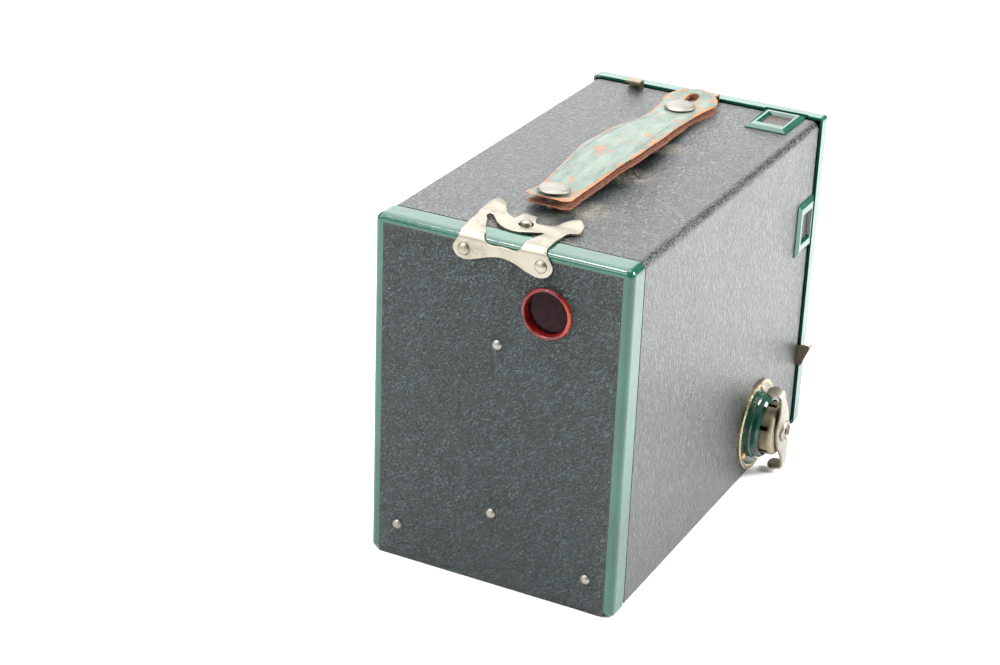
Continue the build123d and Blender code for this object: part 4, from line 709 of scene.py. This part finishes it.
def eased(points: Sequence[Point], at: float) -> float:
    """A smooth curve through a few points.

    Args:
        points: place and value pairs, in rising order of place.
        at: where to read it.

    Returns:
        The value there, held level beyond the ends.
    """
    if at <= points[0][0]:
        return points[0][1]
    if at >= points[-1][0]:
        return points[-1][1]
    k = next(i for i in range(len(points) - 1) if points[i + 1][0] >= at)
    p1, p2 = points[k], points[k + 1]
    p0 = points[max(k - 1, 0)]
    p3 = points[min(k + 2, len(points) - 1)]
    m1 = (p2[1] - p0[1]) / (p2[0] - p0[0])
    m2 = (p3[1] - p1[1]) / (p3[0] - p1[0])
    w = p2[0] - p1[0]
    t = (at - p1[0]) / w
    return ((2 * t**3 - 3 * t**2 + 1) * p1[1] + (t**3 - 2 * t**2 + t) * w * m1
            + (3 * t**2 - 2 * t**3) * p2[1] + (t**3 - t**2) * w * m2)


@dataclass
class Assembly:
    """A group of pieces that is built and dressed together."""

    finishes: Finishes

    def dress(self, material: bpy.types.Material, *nodes: str) -> None:
        """Give a finish to CAD nodes whose shape is right.

        Args:
            material: the finish.
            nodes: the nodes' names.
        """
        for name in nodes:
            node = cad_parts[name]
            if not node.material_slots:
                node.data.materials.append(material)
            for slot in node.material_slots:
                slot.material = material
            LOG.info("dressed %s in %s", name, material.name)

    def keep(self, piece: bpy.types.Object, body: str, slot: str, *nodes: str) -> bpy.types.Object:
        """Put a finished piece on its body, in place of CAD nodes.

        Args:
            piece: the piece.
            body: the body that it moves with.
            slot: the name of the finish's slot; not used.
            nodes: the CAD nodes that it stands for.

        Returns:
            The piece.
        """
        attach(piece, body)
        if nodes:
            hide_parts(*nodes)
        LOG.info("built %s on %s for %s", piece.name, body, ", ".join(nodes) or "itself")
        return piece

    def build(self) -> None:
        """Make the group's own pieces."""


# ---------------------------------------------------------------- the camera's sub-assemblies
@dataclass
class Body(Assembly):
    """The tube with its covering, and the sockets in it."""

    def build(self) -> None:
        """Dress the tube and its covering."""
        f = self.finishes
        self.dress(f.body, "body_covering", "base_covering")
        self.dress(f.aluminium, "body_shell", "key_bush")
        self.dress(f.nickel, "tripod_socket_bottom", "tripod_socket_side")


@dataclass
class BackDoor(Assembly):
    """The hinged back: border, leatherette, hinge, spring, rivets and red window."""

    panel: float = 67.4
    rivets: tuple[Point, ...] = ((0.0, 72.7), (0.0, 22.1), (29.1, 10.2), (-29.1, 10.2))
    window: Point = (-14.1, 85.1)

    def build(self) -> None:
        """Dress the CAD nodes, then make domed rivets and the window."""
        f = self.finishes
        self.dress(f.back_green, "door_pan")
        self.dress(f.back, "door_covering")
        self.dress(f.steel, "pressure_spring", "hinge_door_leaf", "hinge_body_leaf", "hinge_pin")
        self.dress(f.black, "window_backing")
        self.make_rivets()
        self.make_window()

    def make_rivets(self) -> None:
        """Four small domed rivets, with their shanks."""
        bm = bmesh.new()
        dome = [(0.0, 0.72), (0.55, 0.66), (1.0, 0.48), (1.32, 0.22), (1.42, 0.04), (1.4, -0.02), (0.72, -0.02),
                (0.72, -1.65), (0.0, -1.65)]
        for x, z in self.rivets:
            turned(bm, dome, towards(Vector((0, 1, 0)), Vector((x, self.panel, z)) * MM), 40)
        piece = new_piece("back_rivet_heads", bm, self.finishes.bright)
        self.keep(piece, "door", "nickel", "back_rivets")

    def make_window(self) -> None:
        """A rolled red ring round a deep-set dark pane."""
        stand = towards(Vector((0, 1, 0)), Vector((self.window[0], self.panel, self.window[1])) * MM)
        bm = bmesh.new()
        turned(bm, [(7.2, 0.0), (7.2, 0.35), (7.05, 0.68), (6.75, 0.86), (6.42, 0.84), (6.2, 0.62), (6.12, 0.2),
                    (6.08, -0.9), (5.85, -1.35), (5.8, -1.9), (6.58, -1.9), (6.58, 0.0)], stand, 96)
        ring = new_piece("red_window_ring", bm, self.finishes.red_ring, 60.0)
        self.keep(ring, "door", "red_lacquer", "window_ring")
        bm = bmesh.new()
        turned(bm, [(0.0, -0.62), (2.0, -0.66), (4.0, -0.80), (5.3, -0.98), (6.0, -1.02), (6.0, -1.4),
                    (0.0, -1.35)], stand, 72)
        pane = new_piece("red_window_pane", bm, self.finishes.red_pane, 70.0)
        self.keep(pane, "door", "red_pane", "red_window")


@dataclass
class Latch(Assembly):
    """The one-piece spring latch, its rivets, and the stud that it catches on."""

    middle: float = -0.8
    back_face: float = 67.4
    sheet: float = 0.6
    foot: float = 94.8
    bend_at: float = 6.0
    bend_radius: float = 1.8
    stud: Point = (-0.8, 54.6)
    body_top: float = 101.8
    rivets: tuple[Point, ...] = ((10.4, 98.0), (-12.0, 98.0))

    def build(self) -> None:
        """Make the stamping, its rivets and the stud."""
        self.make_stamping()
        self.make_rivets()
        self.make_stud()

    def along(self, y: float) -> float:
        """The flat pattern's length at a depth of the camera's top."""
        return self.bend_at + self.bend_radius * pi / 2 + (65.9 - y)

    def form(self, x: float, s: float, h: float) -> Vector:
        """Roll the flat pattern over the back's upper edge.

        Args:
            x: across the camera.
            s: along the sheet, from its foot on the back.
            h: out of the sheet.

        Returns:
            The formed point, in metres.
        """
        mid = self.back_face + self.sheet / 2
        arc = self.bend_radius * pi / 2
        if s < self.bend_at:
            return Vector((x, mid + h, self.foot + s)) * MM
        cy, cz = mid - self.bend_radius, self.foot + self.bend_at
        if s < self.bend_at + arc:
            turn = (s - self.bend_at) / self.bend_radius
            reach = self.bend_radius + h
            return Vector((x, cy + reach * cos(turn), cz + reach * sin(turn))) * MM
        y = cy - (s - self.bend_at - arc)
        z = cz + self.bend_radius + h
        dx = x - self.middle
        lobe = max(0.0, 1 - hypot(abs(dx) - 13.0, y - 46.0) / 6.5)
        z += 1.3 * lobe * lobe
        sag = max(0.0, 1 - hypot(dx / 1.5, y - 56.0) / 7.5)
        z -= 0.22 * sag
        z += 0.10 * sin(y * 0.9 + x * 0.35)
        return Vector((x, y, z)) * MM

    def make_stamping(self) -> None:
        """Base, two arms, finger lobes and the crescent between them, in one sheet."""
        a = self.along
        b = -self.foot
        outer = [
            (-0.8, 97.8 + b), (-4.4, 97.1 + b), (-8.2, 95.5 + b), (-12.0, 94.8 + b), (-14.7, 96.3 + b),
            (-15.3, 98.6 + b), (-14.2, 100.3 + b), (-13.3, 101.6 + b), (-12.9, 104.0 + b), (-12.8, a(62.0)),
            (-12.7, a(57.6)), (-13.3, a(55.1)), (-15.0, a(53.6)), (-15.4, a(50.7)), (-14.4, a(48.3)),
            (-12.3, a(46.6)), (-10.4, a(46.9)), (-9.0, a(48.4)), (-8.1, a(51.0)), (-7.1, a(52.7)),
            (-5.4, a(53.1)), (-3.1, a(52.8)), (-2.1, a(51.3)), (-1.2, a(48.9)), (0.3, a(48.5)), (2.6, a(48.8)),
            (3.3, a(50.8)), (4.1, a(52.1)), (5.4, a(51.4)), (7.1, a(50.0)), (8.4, a(47.8)), (9.8, a(45.6)),
            (11.6, a(44.9)), (13.6, a(46.4)), (14.2, a(49.2)), (14.0, a(52.2)), (13.4, a(56.0)), (12.8, a(61.5)),
            (12.2, 104.0 + b), (12.0, 101.6 + b), (12.7, 100.2 + b), (13.6, 98.4 + b), (12.8, 96.2 + b),
            (10.4, 95.2 + b), (7.0, 95.9 + b), (3.0, 97.2 + b),
        ]
        gap = [
            (-5.6, 101.2 + b), (-0.9, 100.9 + b), (3.8, 101.1 + b), (5.0, 102.6 + b), (5.5, a(65.0)),
            (6.9, a(62.4)), (9.3, a(57.2)), (10.7, a(53.6)), (10.0, a(53.5)), (8.3, a(55.1)), (6.1, a(57.6)),
            (3.1, a(59.5)), (-0.6, a(60.2)), (-3.7, a(59.5)), (-5.9, a(58.3)), (-7.4, a(57.4)), (-7.6, a(58.4)),
            (-7.1, a(61.2)), (-6.1, a(64.2)), (-6.3, 103.0 + b),
        ]
        eye = [(self.stud[0] + 1.95 * cos(k * pi / 4), a(self.stud[1]) + 1.95 * sin(k * pi / 4)) for k in range(8)]
        cuts = [((0.0, self.bend_at + self.bend_radius * pi / 2 * k / 8), (0.0, 1.0)) for k in range(9)]
        cuts += [((0.0, a(64.0 - 1.25 * k)), (0.0, 1.0)) for k in range(15)]
        cuts += [((-15.0 + 2.0 * k, 0.0), (1.0, 0.0)) for k in range(15)]
        bm = stamped([outer, gap, eye], self.sheet, 0.14, cuts, self.form)
        piece = new_piece("latch_spring", bm, self.finishes.nickel, 50.0)
        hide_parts("latch_base", "latch_arm")
        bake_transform(piece)
        LOG.info("built latch_spring between door and latch for latch_base, latch_arm")

    def make_rivets(self) -> None:
        """Two domed rivets that hold the latch."""
        bm = bmesh.new()
        dome = [(0.0, 0.92), (0.7, 0.88), (1.25, 0.72), (1.62, 0.44), (1.80, 0.10), (1.80, 0.0), (0.74, 0.0),
                (0.74, -1.8), (0.0, -1.8)]
        for x, z in self.rivets:
            turned(bm, dome, towards(Vector((0, 1, 0)), Vector((x, self.back_face + self.sheet, z)) * MM), 40)
        self.keep(new_piece("latch_rivet_heads", bm, self.finishes.nickel), "door", "nickel", "latch_rivets")

    def make_stud(self) -> None:
        """The stud on the body's top, hammered over at its end."""
        bm = bmesh.new()
        line = [(0.0, 2.0), (0.55, 2.1), (1.1, 2.0), (1.5, 1.7), (1.58, 1.3), (1.58, -1.4), (3.2, -1.4),
                (3.2, -2.2), (0.0, -2.2)]
        turned(bm, line, towards(Vector((0, 0, 1)), Vector((*self.stud, self.body_top)) * MM), 40)
        self.keep(new_piece("latch_stud_head", bm, self.finishes.bright), "camera_body", "nickel", "latch_stud")


@dataclass
class CarryingStrap(Assembly):
    """The leather strap and the two flat-headed studs that hold it."""

    rear: float = 42.0
    round_end: float = -54.4
    round_radius: float = 8.4
    thick: float = 2.4
    corner: float = 2.2
    columns: int = 32
    rows: int = 150
    round_rows: int = 26
    tops: tuple[Point, ...] = ((-62.8, 106.2), (-57.0, 105.1), (-52.0, 104.7), (-47.0, 104.6), (-36.0, 104.8),
                               (-20.0, 106.3), (4.0, 107.3), (20.0, 106.4), (32.0, 105.7), (42.0, 106.35))
    halves: tuple[Point, ...] = ((-54.4, 8.4), (-48.0, 7.2), (-38.0, 6.3), (-18.0, 7.9), (0.0, 8.5), (18.0, 7.2),
                                 (32.0, 6.4), (42.0, 6.9))
    slot_ends: Point = (-54.6, -57.6)
    slot_radius: float = 1.7
    studs: tuple[tuple[float, float], ...] = ((37.0, 106.5), (-47.0, 104.95))

    def build(self) -> None:
        """Make the strap and its studs."""
        self.make_strap()
        self.make_studs()

    def row_place(self, share: float) -> Point:
        """Where one row across the strap lies.

        Args:
            share: how far along it is, from 0 at the round front end to 1 at the square rear end.

        Returns:
            The row's depth and half width, in millimetres.
        """
        part = self.round_rows / self.rows
        if share < part:
            swing = share / part * pi / 2
            return self.round_end - self.round_radius * cos(swing), self.round_radius * sin(swing)
        y = self.round_end + (share - part) / (1 - part) * (self.rear - self.round_end)
        half = eased(self.halves, y)
        short = self.rear - y
        if short < self.corner:
            half -= self.corner - sqrt(max(0.0, self.corner**2 - (self.corner - short) ** 2))
        return y, half

    def make_strap(self) -> None:
        """A crowned, waisted strip with a slot near its front end."""
        bm = bmesh.new()
        bmesh.ops.create_grid(bm, x_segments=self.columns, y_segments=self.rows, size=1.0)
        inset = bm.verts.layers.float.new("inset")
        near, far = self.slot_ends
        for vert in bm.verts:
            u, v = vert.co.x, vert.co.y
            y, half = self.row_place((v + 1) / 2)
            x = u * half
            ragged = 0.10 * sin(y * 2.3 + u) * sin(y * 0.83) * max(0.0, abs(u) - 0.8) * 5
            away = min(half - abs(x), self.rear - y)
            if y < self.round_end:
                away = self.round_radius - hypot(x, y - self.round_end)
            vert[inset] = away * MM
            z = eased(self.tops, y) - 0.30 * u**4 - 0.25 * exp(-(max(0.0, away) / 0.5) ** 2)
            for stud_y, _ in self.studs:
                z -= 0.45 * exp(-(((x / 5.6) ** 2 + ((y - stud_y) / 5.6) ** 2) ** 2)) * (1 if stud_y > 0 else 0.4)
            z += 0.10 * sin(y * 0.31 + 1.0) * u
            vert.co = Vector((x + ragged * (1 if u > 0 else -1), y, z)) * MM
        lost = []
        for face in bm.faces:
            c = face.calc_center_median() / MM
            if hypot(c.x, c.y - min(max(c.y, far), near)) < self.slot_radius:
                lost.append(face)
        bmesh.ops.delete(bm, geom=lost, context="FACES")
        for vert in bm.verts:
            c = vert.co / MM
            spine = min(max(c.y, far), near)
            if vert.is_boundary and hypot(c.x, c.y - spine) < self.slot_radius + 0.9:
                pull = Vector((c.x, c.y - spine, 0))
                if pull.length > 1e-6:
                    edge = pull.normalized() * self.slot_radius
                    vert.co = Vector((edge.x, spine + edge.y, c.z)) * MM
                    vert[inset] = 0.0
        bmesh.ops.remove_doubles(bm, verts=bm.verts[:], dist=2e-6)
        self.thicken(bm, inset)
        piece = new_piece("carrying_strap", bm, self.finishes.strap, 80.0)
        finer = piece.modifiers.new("finer", "SUBSURF")
        finer.levels = finer.render_levels = 1
        self.keep(piece, "camera_body", "strap_leather", "strap")

    def thicken(self, bm: bmesh.types.BMesh, inset: object) -> None:
        """Give the strip its underside and rounded cut flanks, and mark the flanks.

        Args:
            bm: the strip's upper face.
            inset: the layer that holds the distance from its edge.
        """
        flank = bm.verts.layers.float.new("flank")
        upper = bm.faces[:]
        lower = bmesh.ops.duplicate(bm, geom=bm.verts[:] + bm.edges[:] + bm.faces[:])
        under_faces = [g for g in lower["geom"] if isinstance(g, bmesh.types.BMFace)]
        under_verts = [g for g in lower["geom"] if isinstance(g, bmesh.types.BMVert)]
        bmesh.ops.reverse_faces(bm, faces=under_faces)
        bmesh.ops.translate(bm, verts=under_verts, vec=(0, 0, -self.thick * MM))
        near, far = self.slot_ends
        walls = []
        for inner in (False, True):
            loops = []
            for edge in bm.edges:
                c = (edge.verts[0].co + edge.verts[1].co) / 2 / MM
                in_slot = hypot(c.x, c.y - min(max(c.y, far), near)) < self.slot_radius + 0.5
                if edge.is_boundary and in_slot == inner:
                    loops.append(edge)
            walls += bmesh.ops.bridge_loops(bm, edges=loops)["faces"]
        bars = list(dict.fromkeys(
            e for f in walls for e in f.edges if abs(e.verts[0].co.z - e.verts[1].co.z) > 1e-3))
        bmesh.ops.subdivide_edges(bm, edges=bars, cuts=5, use_grid_fill=True)
        known = set(upper) | set(under_faces)
        for vert in bm.verts:
            if not any(f in known for f in vert.link_faces):
                vert[flank] = 1.0
                vert[inset] = 0.0
                rough = 0.11 * sin(vert.co.y / MM * 5.1 + vert.co.z / MM * 3.0) * sin(vert.co.z / MM * 6.0)
                vert.co.x += rough * MM
            elif any(f not in known for f in vert.link_faces):
                vert[flank] = 0.35
        for face in under_faces:
            for vert in face.verts:
                vert[flank] = 1.0

    def make_studs(self) -> None:
        """Broad flat heads with soft edges, on short necks."""
        bm = bmesh.new()
        for y, z in self.studs:
            head = [(0.0, 0.92), (2.4, 0.90), (3.6, 0.80), (4.25, 0.58), (4.6, 0.22), (4.58, 0.02), (4.2, -0.05),
                    (2.0, -0.05), (2.0, 100.4 - z), (4.0, 100.4 - z), (4.0, 99.5 - z), (0.0, 99.5 - z)]
            tilt = Vector((0.0, -0.05 if y > 0 else 0.02, 1.0))
            turned(bm, head, towards(tilt.normalized(), Vector((0.0, y, z)) * MM), 56)
        self.keep(new_piece("strap_stud_heads", bm, self.finishes.bright), "camera_body", "nickel", "strap_studs")


@dataclass
class WindingKey(Assembly):
    """The key plate, the drum in it, and the formed wing on the shaft."""

    centre: Point = (-33.5, 15.2)
    inner_face: float = -45.7
    sheet: float = 0.9
    tilt: float = 13.0
    straight: float = 12.6
    bend: float = 1.1
    rivet_reach: float = 11.35
    rivet_angles: Point = (13.0, 234.0)
    plate_face: float = -37.8

    def build(self) -> None:
        """Dress the plate, drum and shaft, then make the wing and the rivets."""
        f = self.finishes
        self.dress(f.key_green, "key_plate")
        self.dress(f.dull, "key_drum", "key_shaft")
        self.make_wing()
        self.make_rivets()

    def form(self, t: float, w: float, h: float) -> Vector:
        """Bend the wing's two tips back towards the body.

        Args:
            t: along the wing.
            w: across it.
            h: out of the sheet, away from the body.

        Returns:
            The formed point, in metres.
        """
        side = 1.0 if t >= 0 else -1.0
        run = abs(t)
        arc = self.bend * pi / 2
        if run < self.straight:
            along, out = run, h
        elif run < self.straight + arc:
            turn = (run - self.straight) / self.bend
            reach = self.bend + h
            along, out = self.straight + reach * sin(turn), reach * cos(turn) - self.bend
        else:
            along, out = self.straight + self.bend + h, -self.bend - (run - self.straight - arc)
        out += 0.45 * (1 - min(1.0, (run / self.straight) ** 2)) - 0.05 * w * w * exp(-((run / 7.5) ** 2)) * 0.9
        a = radians(self.tilt)
        along *= side
        y = self.centre[0] + along * sin(a) + w * cos(a)
        z = self.centre[1] + along * cos(a) - w * sin(a)
        return Vector((self.inner_face - self.sheet / 2 - out, y, z)) * MM

    def make_wing(self) -> None:
        """An oval sheet drawn out to two arms with round, turned-in tips."""
        half = [(0.0, 4.35), (3.6, 4.15), (6.6, 3.1), (9.3, 2.05), (12.6, 1.6), (14.1, 1.8), (15.6, 2.4),
                (17.2, 1.9), (18.0, 0.0)]
        right = half + [(t, -w) for t, w in reversed(half[:-1])]
        left = [(-t, -w) for t, w in half[1:-1]] + [(-18.0, 0.0)] + [(-t, w) for t, w in reversed(half[1:-1])]
        eye = [(2.0 * cos(-k * pi / 4), 2.0 * sin(-k * pi / 4)) for k in range(8)]
        cuts = [((s * (self.straight + self.bend * pi / 2 * k / 6), 0.0), (1.0, 0.0))
                for s in (-1, 1) for k in range(7)]
        cuts += [((-12.0 + 1.5 * k, 0.0), (1.0, 0.0)) for k in range(17)]
        cuts += [((0.0, -3.0 + 1.0 * k), (0.0, 1.0)) for k in range(7)]
        bm = stamped([right + left, eye], self.sheet, 0.2, cuts, self.form)
        bmesh.ops.recalc_face_normals(bm, faces=bm.faces[:])
        for part in (*bm.verts, *bm.faces):
            part.tag = True
        stand = towards(Vector((-1, 0, 0)), Vector((self.inner_face, *self.centre)) * MM)
        turned(bm, [(2.05, 1.1), (2.05, 1.55), (2.35, 1.85), (2.85, 1.8), (3.2, 1.5), (3.35, 1.1)], stand, 48)
        self.keep(new_piece("key_wing_formed", bm, self.finishes.nickel, 50.0), "key", "nickel", "key_wing")

    def make_rivets(self) -> None:
        """Two copper rivets through the plate."""
        bm = bmesh.new()
        dome = [(0.0, 0.62), (0.45, 0.56), (0.85, 0.36), (1.08, 0.05), (1.05, 0.0), (0.7, 0.0), (0.7, -1.9),
                (0.0, -1.9)]
        for angle in self.rivet_angles:
            y = self.centre[0] - self.rivet_reach * sin(radians(angle))
            z = self.centre[1] + self.rivet_reach * cos(radians(angle))
            turned(bm, dome, towards(Vector((-1, 0, 0)), Vector((self.plate_face, y, z)) * MM), 32)
        self.keep(new_piece("key_plate_rivet_heads", bm, self.finishes.copper), "camera_body", "copper",
                  "key_plate_rivets")


@dataclass
class FrontAndFinders(Assembly):
    """The lacquered front plate, its covering and bezels, and both finders."""

    def build(self) -> None:
        """Dress the front plate and the finders."""
        f = self.finishes
        self.dress(f.green, "front_plate", "top_finder_frame", "side_finder_frame")
        self.dress(f.front, "front_covering")
        self.dress(f.bright, "lens_bezel", "finder_bezels", "front_plate_screws")
        self.dress(f.glass, "lens", "finder_lenses")
        self.dress(f.ground, "finder_glasses")
        self.dress(f.mirror, "finder_mirrors")
        self.dress(f.black, "top_finder_box", "side_finder_box", "lens_cell")


@dataclass
class Shutter(Assembly):
    """The shutter board and what moves on it."""

    def build(self) -> None:
        """Dress the shutter."""
        f = self.finishes
        self.dress(f.aluminium, "slide_guides")
        self.dress(f.black, "shutter_board", "shutter_disc")
        self.dress(f.dull, "shutter_lever", "stop_slide", "time_slide")
        self.dress(f.steel, "shutter_pivot", "shutter_spring")


@dataclass
class FilmCarrier(Assembly):
    """The cone, gate, rollers and spool inside the body."""

    def build(self) -> None:
        """Dress the inside."""
        f = self.finishes
        self.dress(f.black, "light_cone", "film_gate", "carrier_side_key", "carrier_side_far", "carrier_front_plate",
                   "take_up_spool_flanges")
        self.dress(f.steel, "film_roller_lower", "film_roller_upper", "pivot_springs", "spool_pivots")
        self.dress(f.wood, "take_up_spool_core")


# ---------------------------------------------------------------- studio
@dataclass
class Studio:
    """A pale floor, soft lights and the viewpoint."""

    eye: tuple[float, float, float] = (-0.2456, 0.5533, 0.3298)
    yaw: float = -63.26
    pitch: float = -24.96
    roll: float = 2.16
    lens: float = 82.63
    air: float = 0.35

    def build(self) -> None:
        """Set the floor, lights, sky and camera."""
        self.make_floor()
        self.add_light("top_softbox", (0.25, -0.10, 1.30), (0.0, 0.0, 0.05), (1.6, 1.6), 44.0)
        self.add_light("far_softbox", (0.85, -1.60, 0.80), (0.0, 0.0, 0.10), (1.7, 1.2), 20.0)
        self.add_light("floor_light", (-1.40, -0.80, 0.95), (-0.25, -0.35, 0.0), (0.9, 0.9), 80.0)
        self.add_light("edge_light", (0.48, 0.66, 1.28), (0.0, 0.06, 0.10), (0.30, 0.30), 10.0)
        self.add_light("rear_softbox", (0.50, 1.65, 0.85), (0.0, 0.06, 0.05), (0.7, 0.7), 12.0)
        self.add_light("left_softbox", (0.95, 0.75, 0.75), (0.0, 0.0, 0.05), (0.9, 0.9), 12.0)
        self.make_sky()
        self.make_camera()
        bpy.context.scene.view_settings.view_transform = "Standard"

    def make_floor(self) -> None:
        """A wide pale floor, level with the camera's base."""
        bm = bmesh.new()
        bmesh.ops.create_grid(bm, x_segments=2, y_segments=2, size=6.0)
        sh = Shader("studio_floor")
        sh.finish(Base_Color=sh.mix(sh.noise(3.0), (0.90, 0.90, 0.91), (0.93, 0.93, 0.93)), Roughness=0.6)
        new_piece("studio_floor", bm, sh.material)

    def add_light(self, name: str, at: Sequence[float], aim: Sequence[float], size: Point, power: float) -> None:
        """Hang one soft light.

        Args:
            name: the light's name.
            at: where it hangs.
            aim: what it points at.
            size: its width and height, in metres.
            power: its power, in watts.
        """
        lamp = bpy.data.lights.new(name, "AREA")
        lamp.shape = "RECTANGLE"
        lamp.size, lamp.size_y = size
        lamp.energy = power
        holder = bpy.data.objects.new(name, lamp)
        holder.location = at
        holder.rotation_euler = (Vector(aim) - Vector(at)).to_track_quat("-Z", "Y").to_euler()
        bpy.context.scene.collection.objects.link(holder)

    def make_sky(self) -> None:
        """Even white light from all round."""
        world = bpy.data.worlds.new("studio_air")
        world.use_nodes = True
        world.node_tree.nodes["Background"].inputs["Color"].default_value = (1.0, 1.0, 1.0, 1.0)
        world.node_tree.nodes["Background"].inputs["Strength"].default_value = self.air
        bpy.context.scene.world = world

    def make_camera(self) -> None:
        """The viewpoint, from behind, above and to the key's side."""
        yaw, pitch, roll = (radians(a) for a in (self.yaw, self.pitch, self.roll))
        ahead = Vector((cos(pitch) * cos(yaw), cos(pitch) * sin(yaw), sin(pitch)))
        side = ahead.cross(Vector((0, 0, 1))).normalized()
        up = side.cross(ahead)
        right = cos(roll) * side + sin(roll) * up
        top = -sin(roll) * side + cos(roll) * up
        data = bpy.data.cameras.new("viewpoint")
        data.lens = self.lens
        data.sensor_width = 36.0
        data.clip_start = 0.01
        view = bpy.data.objects.new("viewpoint", data)
        turn = Matrix((right, top, -ahead)).transposed().to_4x4()
        view.matrix_world = Matrix.Translation(Vector(self.eye)) @ turn
        bpy.context.scene.collection.objects.link(view)
        bpy.context.scene.camera = view


def main() -> None:
    """Build every sub-assembly in order, then the studio."""
    logging.basicConfig(level=logging.INFO, format="%(message)s")
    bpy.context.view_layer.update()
    finishes = Finishes()
    for kind in (Body, BackDoor, Latch, CarryingStrap, WindingKey, FrontAndFinders, Shutter, FilmCarrier):
        part = kind(finishes)
        part.build()
        LOG.info("%s is done", kind.__name__)
    Studio().build()


if __name__ == "__main__":
    main()
